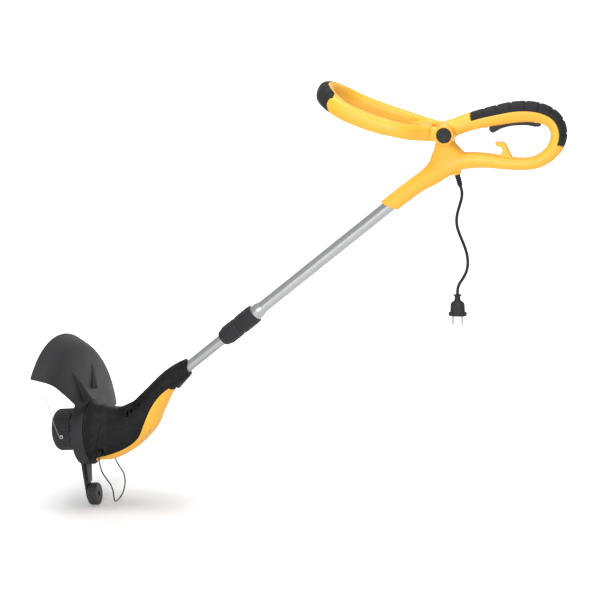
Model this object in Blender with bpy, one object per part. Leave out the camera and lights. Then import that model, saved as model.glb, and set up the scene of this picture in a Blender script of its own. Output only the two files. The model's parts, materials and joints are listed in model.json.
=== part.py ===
"""Electric string trimmer, in metres, +Z up, origin at the middle of the rear grip.

+X points from the head to the handle, +Y away from the viewer, and the shaft lies in the plane Y = 0.
The tool is shown in its edging stance, with the wheel down and the guard up.
"""
import bpy
import bmesh
from math import cos, pi, radians, sin
from mathutils import Matrix, Vector

# Running and seating clearances
GAP = 0.0003
SLIDE_GAP = 0.0004
TURN_GAP = 0.0006
WELD = 0.000002
CLEAR_OF = 0.120
FLAT_ANGLE = radians(3.0)

# Colours (linear) and finishes
YELLOW = (0.93, 0.50, 0.045)
BLACK = (0.022, 0.022, 0.025)
CHARCOAL = (0.045, 0.045, 0.050)
GREY = (0.12, 0.12, 0.125)
STEEL = (0.55, 0.56, 0.57)
ALUMINIUM = (0.62, 0.63, 0.65)
COPPER = (0.55, 0.25, 0.12)
BRASS = (0.65, 0.48, 0.20)
CLEAR = (0.72, 0.75, 0.74)

# Shaft: where its axis leaves the handle, its slope, and its tubes
SHAFT_FOOT = Vector((-0.2375, 0.0, -0.1835))
SHAFT_SLOPE = radians(39.1)
SHAFT_DOWN = Vector((-cos(SHAFT_SLOPE), 0.0, -sin(SHAFT_SLOPE)))
UPPER_TUBE_RADIUS = 0.0125
UPPER_TUBE_WALL = 0.0012
LOWER_TUBE_RADIUS = 0.0110
LOWER_TUBE_WALL = 0.0012
TUBE_IN_HANDLE = 0.100
FLARE_START = 0.342
FLARE_RADIUS = 0.0158
FLARE_LENGTH = 0.012
FLARE_CUFF = 0.014
LOWER_TUBE_TOP = 0.085
HOUSING_MOUTH = 0.556
MOUTH = SHAFT_FOOT + SHAFT_DOWN * HOUSING_MOUTH
TUBE_IN_HOUSING = 0.048
SWIVEL_RADIUS = 0.0140
SWIVEL_LENGTH = 0.016

# Clamp collar on the shaft
COLLAR_START = 0.365
COLLAR_LENGTH = 0.043
COLLAR_RADIUS = 0.0198
NOSE_LENGTH = 0.032
NOSE_RADIUS = 0.0163
COLLET_RADIUS = 0.0138
NUT_LENGTH = 0.048
NUT_RADIUS = 0.0196
NUT_TIP_RADIUS = 0.0150
NUT_RIBS = 14
NUT_RIB_DEPTH = 0.0011

# Handle: one bar runs from the shaft sleeve under and round the grip loop and back to the pivot hub
SLEEVE_START = -0.0056
SLEEVE_SLANT = 0.57
SLEEVE_RADIUS = 0.0175
HANDLE_WALL = 0.0028
BAR_ROUTE = [
    # x, z, half height, half width
    (-0.1730, -0.1335, 0.0180, 0.0185),
    (-0.1455, -0.1168, 0.0197, 0.0200),
    (-0.1140, -0.0992, 0.0180, 0.0205),
    (-0.0810, -0.0865, 0.0168, 0.0185),
    (-0.0380, -0.0850, 0.0150, 0.0165),
    (0.0000, -0.0890, 0.0134, 0.0160),
    (0.0350, -0.0908, 0.0126, 0.0160),
    (0.0640, -0.0855, 0.0130, 0.0160),
    (0.0880, -0.0700, 0.0143, 0.0163),
    (0.1025, -0.0490, 0.0158, 0.0166),
    (0.1060, -0.0260, 0.0168, 0.0170),
    (0.0965, -0.0040, 0.0180, 0.0175),
    (0.0760, 0.0085, 0.0198, 0.0182),
    (0.0480, 0.0135, 0.0212, 0.0188),
    (0.0170, 0.0118, 0.0215, 0.0190),
    (-0.0150, 0.0055, 0.0205, 0.0190),
    (-0.0450, -0.0012, 0.0190, 0.0190),
    (-0.0750, -0.0100, 0.0178, 0.0195),
    (-0.1000, -0.0200, 0.0172, 0.0215),
    (-0.1130, -0.0270, 0.0168, 0.0230),
]
BAR_STEPS = 2
HOLLOW_STEPS = 1
HOLLOW_FROM = 2
SECTION_SIDES = 14
HOLLOW_SIDES = 8
SECTION_POWER = 2.35

# Neck between the stem and the hub: x, z, half width along X, half width along Y
NECK_ROUTE = [
    (-0.1530, -0.1180, 0.0280, 0.0150),
    (-0.1400, -0.1090, 0.0300, 0.0175),
    (-0.1270, -0.0985, 0.0325, 0.0188),
    (-0.1143, -0.0880, 0.0372, 0.0190),
    (-0.1120, -0.0740, 0.0345, 0.0195),
    (-0.1145, -0.0640, 0.0275, 0.0205),
    (-0.1185, -0.0530, 0.0210, 0.0220),
    (-0.1185, -0.0430, 0.0172, 0.0235),
    (-0.1140, -0.0290, 0.0160, 0.0240),
]

# Solid places left in the handle's hollow round the cord and as webs: x, z, half length and half height
HANDLE_WEBS = [
    (-0.0980, -0.1010, 0.0140, 0.0120),
    (-0.1150, -0.0660, 0.0500, 0.0014),
    (0.0300, -0.0900, 0.0014, 0.0300),
    (0.1050, -0.0300, 0.0300, 0.0014),
]

# Pivot hub of the front handle
HUB = Vector((-0.1147, 0.0, -0.0297))
HUB_RADIUS = 0.0195
HUB_HALF_WIDTH = 0.0300
CHEEK_THICKNESS = 0.0120
PIVOT_BOLT_RADIUS = 0.0040
BUTTON_RADIUS = 0.0143
BUTTON_STAND = 0.0060
BUTTON_TRAVEL = 0.0040
BUTTON_DEPTH = 0.0030
CHEEK_SWEEP = 0.0120

# Front handle hoop: x, half spacing along Y, z, half height, half thickness
HOOP_ROUTE = [
    (-0.1147, 0.0362, -0.0297, 0.0150, 0.0058),
    (-0.1430, 0.0364, -0.0272, 0.0150, 0.0060),
    (-0.1490, 0.0390, -0.0262, 0.0155, 0.0088),
    (-0.1620, 0.0445, -0.0246, 0.0155, 0.0098),
    (-0.1850, 0.0590, -0.0205, 0.0153, 0.0110),
    (-0.2100, 0.0655, -0.0140, 0.0155, 0.0118),
    (-0.2400, 0.0670, -0.0062, 0.0168, 0.0120),
    (-0.2730, 0.0670, 0.0048, 0.0172, 0.0120),
    (-0.3080, 0.0640, 0.0188, 0.0176, 0.0125),
    (-0.3320, 0.0530, 0.0318, 0.0190, 0.0138),
    (-0.3520, 0.0290, 0.0432, 0.0206, 0.0155),
    (-0.3605, 0.0000, 0.0480, 0.0205, 0.0160),
]
HOOP_STEPS = 2
HOOP_LEAN = radians(22.0)
HOOP_REACH = 0.150
BRIDGE_BACK = -0.1460
BRIDGE_FRONT = -0.1710
BRIDGE_FLARE = 0.0280
BRIDGE_CENTRE_Z = -0.0245
BRIDGE_HALF_WIDTH = 0.0440
BRIDGE_HALF_HEIGHT = 0.0095
FRONT_GRIP_WALL = 0.0030
FRONT_GRIP_LINE = [
    # back from the middle of the hoop's front, height over it
    (0.0200, -0.0500), (0.0185, -0.0330), (0.0165, -0.0240), (0.0150, -0.0140), (0.0165, -0.0050),
    (0.0205, 0.0010), (0.0260, 0.0050), (0.0260, 0.0500),
]
FRONT_GRIP_STATIONS = 5

# Segmented rubber on the back of the grip loop, in stations of the bar route
RUBBER_THICKNESS = 0.0024
RUBBER_FROM = 9.0
RUBBER_TO = 16.65
RUBBER_BLOCKS = 9
RUBBER_ARCS = 7
RUBBER_NOTCH = 0.0014
RUBBER_NOTCH_WIDTH = 0.10
RUBBER_EDGE_ANGLE = radians(84.0)
RECESS_REACH = 0.004
RECESS_EDGE = radians(1.4)

# Trigger in the underside of the top bar
TRIGGER_PIVOT = Vector((0.0620, 0.0, -0.0050))
TRIGGER_PIN_RADIUS = 0.0020
TRIGGER_HALF_WIDTH = 0.0065
HANDLE_SCREWS = [(-0.1440, -0.1140), (-0.0560, -0.0855), (0.0830, -0.0740), (-0.0870, -0.0150)]
SCREW_HEAD_AT = 0.0120
SCREW_HEAD_RADIUS = 0.0032
SCREW_HEAD_HEIGHT = 0.0020
SCREW_RADIUS = 0.0016
SCREW_LENGTH = 0.0200
SWITCH_CENTRE = Vector((0.0060, 0.0, 0.0150))
SWITCH_HALF = Vector((0.0150, 0.0080, 0.0085))

# Mains cord: where it leaves the handle, its diameter and its route to the plug
CORD_DIAMETER = 0.0062
RELIEF_TOP = Vector((-0.0958, 0.0, -0.1150))
RELIEF_END = Vector((-0.0895, 0.0, -0.1385))
RELIEF_RADIUS = 0.0056
CORD_ROUTE = [
    (-0.0895, -0.1385),
    (-0.0871, -0.1475),
    (-0.0868, -0.1570),
    (-0.0890, -0.1680),
    (-0.0925, -0.1800),
    (-0.0960, -0.1925),
    (-0.0980, -0.2060),
    (-0.0970, -0.2200),
    (-0.0925, -0.2350),
    (-0.0865, -0.2500),
    (-0.0805, -0.2660),
    (-0.0768, -0.2820),
    (-0.0762, -0.2980),
    (-0.0795, -0.3130),
    (-0.0860, -0.3260),
    (-0.0930, -0.3370),
    (-0.0968, -0.3480),
    (-0.0975, -0.3600),
]
CORD_POINTS = 40
PLUG_RADIUS = 0.0080
PLUG_NECK = 0.0150
PLUG_BODY = 0.0210
PLUG_FLANGE = 0.0070
PLUG_HALF_WIDTH = 0.0150
PLUG_HALF_DEPTH = 0.0090
PLUG_FLANGE_GROWTH = 0.0035
PIN_SPACING = 0.0190
PIN_RADIUS = 0.0024
PIN_LENGTH = 0.0190

# Head frame: on the spool axis, at the joint between guard and motor housing.
# From here on, places on the head are measured from the mouth, so the head follows the length of the shaft.
HEAD_SEAT = MOUTH + Vector((-0.2172, 0.0, -0.1453))
SPOOL_TILT = radians(5.0)
SEAT_DROP = 0.0075
SEAT_RADIUS = 0.0690

# Motor housing: x, z, half height, half width
HOUSING_ROUTE = [
    (-0.2010, -0.1525, 0.0595, 0.0580),
    (-0.1800, -0.1513, 0.0583, 0.0520),
    (-0.1575, -0.1459, 0.0525, 0.0485),
    (-0.1323, -0.1346, 0.0457, 0.0444),
    (-0.1029, -0.1113, 0.0390, 0.0385),
    (-0.0822, -0.0832, 0.0315, 0.0318),
    (-0.0473, -0.0362, 0.0222, 0.0252),
]
HOUSING_WALL = 0.0030
HOUSING_MOUTH_RADIUS = 0.0178
HOUSING_MOUTH_SWELL = 0.0024
HOUSING_MOUTH_LIFT = 0.0025
HOUSING_MOUTH_LEAN = radians(24.0)
HOUSING_SIDES = 20
VENT_WIDTH = 0.0040
VENT_HEIGHT = 0.0250
VENT_FROM = 0.0200
VENT_REACH = 0.0220
VENTS = [(-0.1285, -0.1029), (-0.1198, -0.0965), (-0.1118, -0.0885), (-0.1045, -0.0824)]
COVER_SLOTS = 3
COVER_SLOT_FIRST = MOUTH + Vector((-0.1034, 0.0, -0.1665))
COVER_SLOT_STEP = Vector((0.0095, 0.0, 0.0091))

# Release under the mouth of the housing
RELEASE_START = MOUTH + Vector((0.0020, 0.0, -0.0178))
RELEASE_END = MOUTH + Vector((-0.0240, 0.0, -0.0468))
RELEASE_DEPTH = 0.0032
RELEASE_STAND = 0.0026
RELEASE_HALF_WIDTH = 0.0060
RELEASE_TEETH = 5
RELEASE_TRAVEL = 0.0030

# Yellow cover: the line in the plane Y = 0 that parts it from the housing
COVER_LINE = [
    (-0.2065, -0.2260),
    (-0.2030, -0.2060),
    (-0.1964, -0.1985),
    (-0.1746, -0.1917),
    (-0.1473, -0.1814),
    (-0.1236, -0.1676),
    (-0.1055, -0.1497),
    (-0.0932, -0.1231),
    (-0.0810, -0.0940),
    (-0.0694, -0.0738),
    (-0.0553, -0.0569),
    (-0.0388, -0.0433),
]
COVER_GAP = 0.0008

# Motor and its bearings, along the spool axis from the seat
MOTOR_START = 0.016
MOTOR_LENGTH = 0.062
MOTOR_RADIUS = 0.0285
MOTOR_WALL = 0.0025
MOTOR_SHAFT_RADIUS = 0.0040
ARMATURE_RADIUS = 0.0215
ARMATURE_SLOTS = 9
BEARING_RADIUS = 0.0110
BEARING_WIDTH = 0.0070
END_BELL_LENGTH = 0.013
COMMUTATOR_RADIUS = 0.0110
SHAFT_TIP = -0.0550

# Spool head
SPOOL_START = -0.0266
SPOOL_BASE_WIDTH = 0.0125
SPOOL_RADIUS = 0.0450
SPOOL_END = -0.082
SPOOL_WALL = 0.0026
SPOOL_WINDOWS = 10
BOBBIN_RADIUS = SPOOL_RADIUS - 0.0065
BOBBIN_CORE = 0.0150
BUMP_RADIUS = 0.0180
BUMP_STAND = 0.0045
LINE_RADIUS = 0.0008
LINE_END = MOUTH + Vector((-0.3037, -0.0480, -0.0656))
HUB_TUBE_RADIUS = 0.0110
EYELET_ALONG = -0.0562
EYELET_RISE = -0.0030

# Guard
GUARD_THICKNESS = 0.0026
GUARD_FROM = radians(-42.7)
GUARD_TO = radians(88.6)
GUARD_LEAN = 0.136
GUARD_COLLAR_DEPTH = 0.027
GUARD_COLLAR_WALL = 0.0035
GUARD_BORE = 0.0200
GUARD_SCREWS = [(-0.0420, -0.0060), (0.0420, -0.0060)]
GUARD_SCREW_RADIUS = 0.0020
GUARD_SCREW_DEPTH = 0.0120
GUARD_PROFILE = [
    # along the spool axis, radius
    (-0.0015, 0.0575),
    (-0.0020, 0.0640),
    (-0.0040, 0.0950),
    (-0.0085, 0.1300),
    (-0.0142, 0.1600),
    (-0.0195, 0.1755),
    (-0.0299, 0.1875),
    (-0.0449, 0.1980),
    (-0.0568, 0.2056),
]
GUARD_STEPS = 14
GUARD_PLATE = 0.0048
FINS = [
    # angle, radius of the foot, radius of the tip, height of the foot
    (radians(-16.5), 0.0680, 0.146, 0.020),
    (radians(26.0), 0.0860, 0.142, 0.011),
]
FIN_FOOT_HALF = 0.0036
FIN_TIP_HALF = 0.0010
BLADE_ANGLE = radians(24.0)
BLADE_AT = (-0.0385, 0.1935)
BLADE_SLOPE = radians(35.0)

# Edging wheel and its bracket
WHEEL_CENTRE = Vector((-0.0166, 0.0, -0.1460))
WHEEL_RADIUS = 0.0240
WHEEL_WIDTH = 0.0200
AXLE_RADIUS = 0.0035
BRACKET_THICKNESS = 0.0045
BRACKET_TOP_HALF = 0.0190
BRACKET_FOOT_RADIUS = 0.0130
BRACKET_TOP = -0.0580
BRACKET_FACE = -(GUARD_COLLAR_DEPTH + GAP)
WEB_HALF = 0.0030
WEB_HEIGHT = 0.0410
WEB_TOP = -0.0143
WEB_FOOT = -0.0195
AXLE_HEAD_RADIUS = 0.0052
AXLE_RECESS = 0.0055

# Wire plant guard: its pivot, its wire and one leg from the pivot to the middle of its foot
WIRE_PIVOT = MOUTH + Vector((-0.1840, 0.0, -0.1798))
WIRE_RADIUS = 0.0014
BOSS_RADIUS = 0.0100
BOSS_FACE = 0.0492
WIRE_TIP = 0.0450
WIRE_LEG = [
    # x, half spacing along Y, z
    (-0.1840, 0.0530, -0.1798),
    (-0.1885, 0.0515, -0.1898),
    (-0.1900, 0.0475, -0.2058),
    (-0.1865, 0.0450, -0.2258),
    (-0.1780, 0.0435, -0.2418),
    (-0.1695, 0.0425, -0.2548),
    (-0.1655, 0.0410, -0.2688),
    (-0.1655, 0.0360, -0.2858),
    (-0.1675, 0.0220, -0.2988),
    (-0.1685, 0.0000, -0.3023),
]


# Scene and mesh helpers

def clear_scene():
    """Remove every object, mesh, curve and material of the starting scene."""
    for thing in list(bpy.data.objects):
        bpy.data.objects.remove(thing, do_unlink=True)
    for store in (bpy.data.meshes, bpy.data.curves, bpy.data.materials):
        for block in list(store):
            store.remove(block)


def make_material(name, colour, roughness, metallic=0.0):
    """One Principled finish."""
    material = bpy.data.materials.new(name)
    material.use_nodes = True
    shader = material.node_tree.nodes["Principled BSDF"]
    shader.inputs["Base Color"].default_value = (*colour, 1.0)
    shader.inputs["Roughness"].default_value = roughness
    shader.inputs["Metallic"].default_value = metallic
    material.diffuse_color = (*colour, 1.0)
    return material


def finish(thing, colour, roughness, metallic=0.0, smooth=radians(35.0)):
    """Give a finished piece its own material and its shading."""
    thing.data.materials.clear()
    thing.data.materials.append(make_material(thing.name + "_finish", colour, roughness, metallic))
    thing.data.shade_smooth()
    thing.data.set_sharp_from_angle(angle=smooth)
    return thing


def mesh_object(name, bm):
    """Turn a bmesh into a linked object with its faces pointing out."""
    bmesh.ops.recalc_face_normals(bm, faces=bm.faces[:])
    mesh = bpy.data.meshes.new(name)
    bm.to_mesh(mesh)
    bm.free()
    thing = bpy.data.objects.new(name, mesh)
    bpy.context.scene.collection.objects.link(thing)
    return thing


def bake(thing):
    """Apply the modifiers of a piece and weld what they leave closer than a micrometre or two."""
    graph = bpy.context.evaluated_depsgraph_get()
    mesh = bpy.data.meshes.new_from_object(thing.evaluated_get(graph))
    thing.modifiers.clear()
    bm = bmesh.new()
    bm.from_mesh(mesh)
    bmesh.ops.remove_doubles(bm, verts=bm.verts[:], dist=WELD)
    bmesh.ops.dissolve_degenerate(bm, dist=WELD, edges=bm.edges[:])
    bm.to_mesh(mesh)
    bm.free()
    thing.data = mesh
    return thing


def tidy(thing, angle=FLAT_ANGLE):
    """Merge faces that lie in one plane, so cuts leave no fan of slivers."""
    bm = bmesh.new()
    bm.from_mesh(thing.data)
    bmesh.ops.dissolve_limit(bm, angle_limit=angle, verts=bm.verts[:], edges=bm.edges[:])
    bmesh.ops.triangulate(bm, faces=[face for face in bm.faces if len(face.verts) > 4])
    bm.to_mesh(thing.data)
    bm.free()
    return thing


def combine(thing, others, operation):
    """Boolean a piece with helper solids, which are used up."""
    for other in others:
        modifier = thing.modifiers.new(operation.lower(), "BOOLEAN")
        modifier.operation = operation
        modifier.solver = "EXACT"
        modifier.object = other
        other.hide_render = True
        other.display_type = "WIRE"
        bpy.context.view_layer.update()
        bake(thing)
        bpy.data.objects.remove(other, do_unlink=True)
    return thing


def copy_of(thing, name):
    """A separate copy of a piece with its own mesh."""
    twin = bpy.data.objects.new(name, thing.data.copy())
    twin.matrix_world = thing.matrix_world.copy()
    bpy.context.scene.collection.objects.link(twin)
    return twin


def skin_rings(bm, rings, closed=False):
    """Bridge a run of rings of equal length; cap the ends unless the run closes on itself."""
    count = len(rings[0])
    pairs = list(zip(rings, rings[1:]))
    if closed:
        pairs.append((rings[-1], rings[0]))
    for first, second in pairs:
        for k in range(count):
            j = (k + 1) % count
            bm.faces.new((first[k], first[j], second[j], second[k]))
    if not closed:
        bm.faces.new(list(reversed(rings[0])))
        bm.faces.new(rings[-1])


def loft(name, rings, closed=False):
    """A solid through rings of points."""
    bm = bmesh.new()
    verts = [[bm.verts.new(point) for point in ring] for ring in rings]
    skin_rings(bm, verts, closed=closed)
    bmesh.ops.triangulate(bm, faces=bm.faces[:])
    return mesh_object(name, bm)


def turned(name, profile, frame, steps=32, radius_of=None):
    """A solid of revolution about local Z; the profile is a closed run of (radius, height).

    A radius of zero becomes a single pole, and radius_of can shape the outside into ribs.
    """
    bm = bmesh.new()
    rings = []
    for radius, height in profile:
        if radius < 1e-7:
            rings.append([bm.verts.new((0.0, 0.0, height))])
            continue
        ring = []
        for k in range(steps):
            angle = 2.0 * pi * k / steps
            reach = radius_of(radius, height, k) if radius_of else radius
            ring.append(bm.verts.new((reach * cos(angle), reach * sin(angle), height)))
        rings.append(ring)
    open_ended = len(rings[0]) == 1 and len(rings[-1]) == 1
    pairs = list(zip(rings, rings[1:]))
    if not open_ended:
        pairs.append((rings[-1], rings[0]))
    for first, second in pairs:
        for k in range(steps):
            j = (k + 1) % steps
            if len(first) == 1 and len(second) == 1:
                continue
            if len(first) == 1:
                bm.faces.new((first[0], second[j], second[k]))
            elif len(second) == 1:
                bm.faces.new((first[k], first[j], second[0]))
            else:
                bm.faces.new((first[k], first[j], second[j], second[k]))
    thing = mesh_object(name, bm)
    thing.data.transform(frame)
    return thing


def rod(name, start, end, radius, steps=20):
    """A plain round bar between two points."""
    length = (end - start).length
    profile = [(0.0, 0.0), (radius, 0.0), (radius, length), (0.0, length)]
    return turned(name, profile, frame_along(start, end - start), steps)


def block(name, centre, half, frame=None, bevel=0.0):
    """A box given by its centre and half sizes, with rounded edges on request."""
    bm = bmesh.new()
    bmesh.ops.create_cube(bm, size=2.0)
    bmesh.ops.scale(bm, vec=half, verts=bm.verts[:])
    if bevel > 0.0:
        bmesh.ops.bevel(bm, geom=bm.edges[:], offset=bevel, segments=2, affect="EDGES", profile=0.5)
    bmesh.ops.translate(bm, vec=centre, verts=bm.verts[:])
    thing = mesh_object(name, bm)
    if frame is not None:
        thing.data.transform(frame)
    return thing


def plate(name, outline, low, high, frame=None, bevel=0.0):
    """An outline of (x, z) points extruded along Y from low to high."""
    bm = bmesh.new()
    near = [bm.verts.new((x, low, z)) for x, z in outline]
    far = [bm.verts.new((x, high, z)) for x, z in outline]
    skin_rings(bm, [near, far])
    if bevel > 0.0:
        rim = [edge for edge in bm.edges if abs(edge.verts[0].co.y - edge.verts[1].co.y) < 1e-7]
        bmesh.ops.bevel(bm, geom=rim, offset=bevel, segments=2, affect="EDGES", profile=0.5)
    thing = mesh_object(name, bm)
    if frame is not None:
        thing.data.transform(frame)
    return thing


def frame_along(origin, direction):
    """A frame whose local Z follows a direction, with local Y kept level where it can be."""
    axis = direction.normalized()
    side = Vector((0.0, 1.0, 0.0))
    if abs(axis.dot(side)) > 0.9:
        side = Vector((1.0, 0.0, 0.0))
    across = side.cross(axis).normalized()
    side = axis.cross(across)
    rotation = Matrix((across, side, axis)).transposed()
    return Matrix.Translation(origin) @ rotation.to_4x4()


def blend_route(points, steps):
    """A smooth Catmull-Rom run through stations of any number of values."""
    run = []
    for k in range(len(points) - 1):
        before = points[max(k - 1, 0)]
        start, end = points[k], points[k + 1]
        after = points[min(k + 2, len(points) - 1)]
        for step in range(steps):
            u = step / steps
            run.append(tuple(
                0.5 * (2 * b + (c - a) * u + (2 * a - 5 * b + 4 * c - d) * u * u + (3 * b - a - 3 * c + d) * u ** 3)
                for a, b, c, d in zip(before, start, end, after)))
    run.append(tuple(points[-1]))
    return run


def tube_route(name, points, radius, sides=2, count=None):
    """A round tube along a smooth curve through points, with flat ends."""
    smooth = blend_route([tuple(point) for point in points], 8)
    smooth = [Vector(point) for point in smooth]
    if count:
        smooth = even_points(smooth, count)
    curve = bpy.data.curves.new(name, "CURVE")
    curve.dimensions = "3D"
    spline = curve.splines.new("POLY")
    spline.points.add(len(smooth) - 1)
    for slot, point in zip(spline.points, smooth):
        slot.co = (*point, 1.0)
    curve.bevel_depth = radius
    curve.bevel_resolution = sides
    curve.use_fill_caps = True
    thing = bpy.data.objects.new(name, curve)
    bpy.context.scene.collection.objects.link(thing)
    return thing


def even_points(points, count):
    """Points at equal distances along a run."""
    lengths = [0.0]
    for first, second in zip(points, points[1:]):
        lengths.append(lengths[-1] + (second - first).length)
    result = []
    k = 0
    for step in range(count):
        target = lengths[-1] * step / (count - 1)
        while k < len(points) - 2 and lengths[k + 1] < target:
            k += 1
        share = (target - lengths[k]) / (lengths[k + 1] - lengths[k])
        result.append(points[k].lerp(points[k + 1], share))
    return result


def meshed(curve_thing, name):
    """The mesh of a curve object, as a new object; the curve is used up."""
    graph = bpy.context.evaluated_depsgraph_get()
    mesh = bpy.data.meshes.new_from_object(curve_thing.evaluated_get(graph))
    bpy.data.objects.remove(curve_thing, do_unlink=True)
    bm = bmesh.new()
    bm.from_mesh(mesh)
    bmesh.ops.remove_doubles(bm, verts=bm.verts[:], dist=WELD * 10)
    bmesh.ops.recalc_face_normals(bm, faces=bm.faces[:])
    bm.to_mesh(mesh)
    bm.free()
    thing = bpy.data.objects.new(name, mesh)
    bpy.context.scene.collection.objects.link(thing)
    return thing


def section(centre, up, side, half_height, half_width, sides=SECTION_SIDES, power=SECTION_POWER):
    """A rounded section: a superellipse in the plane of up and side."""
    ring = []
    for k in range(sides):
        angle = 2.0 * pi * (k + 0.5) / sides
        c, s = cos(angle), sin(angle)
        rise = half_height * (1 if c >= 0 else -1) * abs(c) ** (2.0 / power)
        reach = half_width * (1 if s >= 0 else -1) * abs(s) ** (2.0 / power)
        ring.append(centre + up * rise + side * reach)
    return ring


# Frames of the shaft and of the head

SHAFT_FRAME = frame_along(SHAFT_FOOT, SHAFT_DOWN)
SPOOL_AXIS = Vector((cos(SPOOL_TILT), 0.0, sin(SPOOL_TILT)))
HEAD_UP = Vector((-sin(SPOOL_TILT), 0.0, cos(SPOOL_TILT)))
HEAD_FRAME = Matrix.Translation(HEAD_SEAT) @ Matrix(
    (SPOOL_AXIS, Vector((0.0, 1.0, 0.0)), HEAD_UP)).transposed().to_4x4()
SPOOL_FRAME = frame_along(HEAD_SEAT, SPOOL_AXIS)
SIDE = Vector((0.0, 1.0, 0.0))


def shaft_point(distance, offset=0.0):
    """A point on the shaft axis, measured down from the handle's sleeve."""
    normal = Vector((-sin(SHAFT_SLOPE), 0.0, cos(SHAFT_SLOPE)))
    return SHAFT_FOOT + SHAFT_DOWN * distance + normal * offset


def head_point(along, across, up):
    """A point in the head's frame."""
    return HEAD_FRAME @ Vector((along, across, up))


# Handle

def bar_stations(steps=BAR_STEPS):
    """The bar's sections: centre, up, half height and half width."""
    sleeve = [(*shaft_point(t).xz, SLEEVE_RADIUS, SLEEVE_RADIUS) for t in (SLEEVE_START, -0.035)]
    run = blend_route(sleeve + BAR_ROUTE, steps)
    stations = []
    for k, (x, z, height, width) in enumerate(run):
        before = run[max(k - 1, 0)]
        after = run[min(k + 1, len(run) - 1)]
        along = Vector((after[0] - before[0], 0.0, after[1] - before[1])).normalized()
        up = Vector((along.z, 0.0, -along.x))
        stations.append((Vector((x, 0.0, z)), up, height, width))
    return stations


def hollow_stations():
    """The hollow's sections: the bar's less its wall, and less the rubber where that is let in."""
    stations = []
    for k, (centre, up, height, width) in enumerate(bar_stations(HOLLOW_STEPS)):
        place = k / HOLLOW_STEPS - 2
        wall = HANDLE_WALL
        if RUBBER_FROM - 1 < place < RUBBER_TO + 1:
            wall += RUBBER_THICKNESS
        if place >= HOLLOW_FROM:
            stations.append((centre, up, height - wall, width - wall))
    return stations


def handle_solid(shrink):
    """The handle's outside, or its hollow when a wall is taken off."""
    hollow = shrink > 0.0
    sides = HOLLOW_SIDES if hollow else SECTION_SIDES
    rings = []
    stations = hollow_stations() if hollow else bar_stations()
    for k, (centre, up, height, width) in enumerate(stations):
        ring = section(centre, up, SIDE, height, width, sides)
        if k == 0 and not hollow:
            ring = [point - SHAFT_DOWN * SLEEVE_SLANT * (point - centre).dot(up) for point in ring]
        rings.append(ring)
    bar = loft("handle_bar", rings)
    neck_run = blend_route(NECK_ROUTE, HOLLOW_STEPS if hollow else BAR_STEPS)
    neck_rings = []
    for x, z, half_x, half_y in neck_run:
        ring = section(Vector((x, 0.0, z)), Vector((1.0, 0.0, 0.0)), SIDE, half_x - shrink, half_y - shrink, sides)
        neck_rings.append(ring)
    neck = loft("handle_neck", neck_rings)
    parts = [neck]
    if not hollow:
        half = Vector((0.0, HUB_HALF_WIDTH, 0.0))
        parts.append(rod("hub", HUB - half, HUB + half, HUB_RADIUS, 32))
        toward = (RELIEF_TOP - RELIEF_END).normalized()
        parts.append(rod("cord_boss", RELIEF_TOP + toward * 0.020, RELIEF_TOP + toward * 0.0005,
                         RELIEF_RADIUS + 0.0035, 20))
        parts.append(cord_hook())
    return combine(bar, parts, "UNION")


def cord_hook():
    """The hook on the lower bar that the extension cord loops over."""
    outline = [
        (0.0160, -0.0860), (0.0135, -0.0760), (0.0010, -0.0500), (-0.0060, -0.0470),
        (-0.0185, -0.0470), (-0.0200, -0.0500), (-0.0180, -0.0555), (-0.0075, -0.0580),
        (-0.0045, -0.0640), (-0.0090, -0.0730), (-0.0140, -0.0830),
    ]
    return plate("cord_hook", outline, -0.0055, 0.0055, bevel=0.0012)


def rubber_stations():
    """Stations under the rubber, with the block that each belongs to."""
    stations = bar_stations()
    low, high = (2 + RUBBER_FROM) * BAR_STEPS, (2 + RUBBER_TO) * BAR_STEPS
    count = round(high - low)
    return [station_at(stations, low + (high - low) * k / count) for k in range(count + 1)]


def station_at(stations, place):
    """A station at a fractional place along a run."""
    k = min(int(place), len(stations) - 2)
    u = place - k
    a, b = stations[k], stations[k + 1]
    return (a[0].lerp(b[0], u), a[1].lerp(b[1], u).normalized(),
            a[2] + (b[2] - a[2]) * u, a[3] + (b[3] - a[3]) * u)


def rubber_section(station, outer, inner, edge=RUBBER_EDGE_ANGLE):
    """A C-shaped section over the back of the bar, between two skins."""
    centre, up, height, width = station
    ring = []
    for skin, order in ((outer, 1), (inner, -1)):
        for k in range(RUBBER_ARCS):
            angle = edge * (2.0 * k / (RUBBER_ARCS - 1) - 1.0) * order
            c, s = cos(angle), sin(angle)
            rise = (height + skin) * abs(c) ** (2.0 / SECTION_POWER)
            reach = (width + skin) * (1 if s >= 0 else -1) * abs(s) ** (2.0 / SECTION_POWER)
            ring.append(centre + up * rise + SIDE * reach)
    return ring


def grip_overmould():
    """Segmented rubber set into the back of the loop."""
    stations = rubber_stations()
    pitch = (len(stations) - 1) / RUBBER_BLOCKS
    notch = RUBBER_NOTCH_WIDTH * pitch
    rings = []
    for k in range(RUBBER_BLOCKS):
        low, high = k * pitch, (k + 1) * pitch
        places = [low, (low + high) / 2, high if k == RUBBER_BLOCKS - 1 else high - notch]
        if k > 0:
            rings.append(rubber_section(station_at(stations, low), -RUBBER_NOTCH, -RUBBER_THICKNESS))
            places[0] = low + notch
        for place in places:
            rings.append(rubber_section(station_at(stations, place), 0.0, -RUBBER_THICKNESS))
    return loft("grip_overmould", rings)


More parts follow.
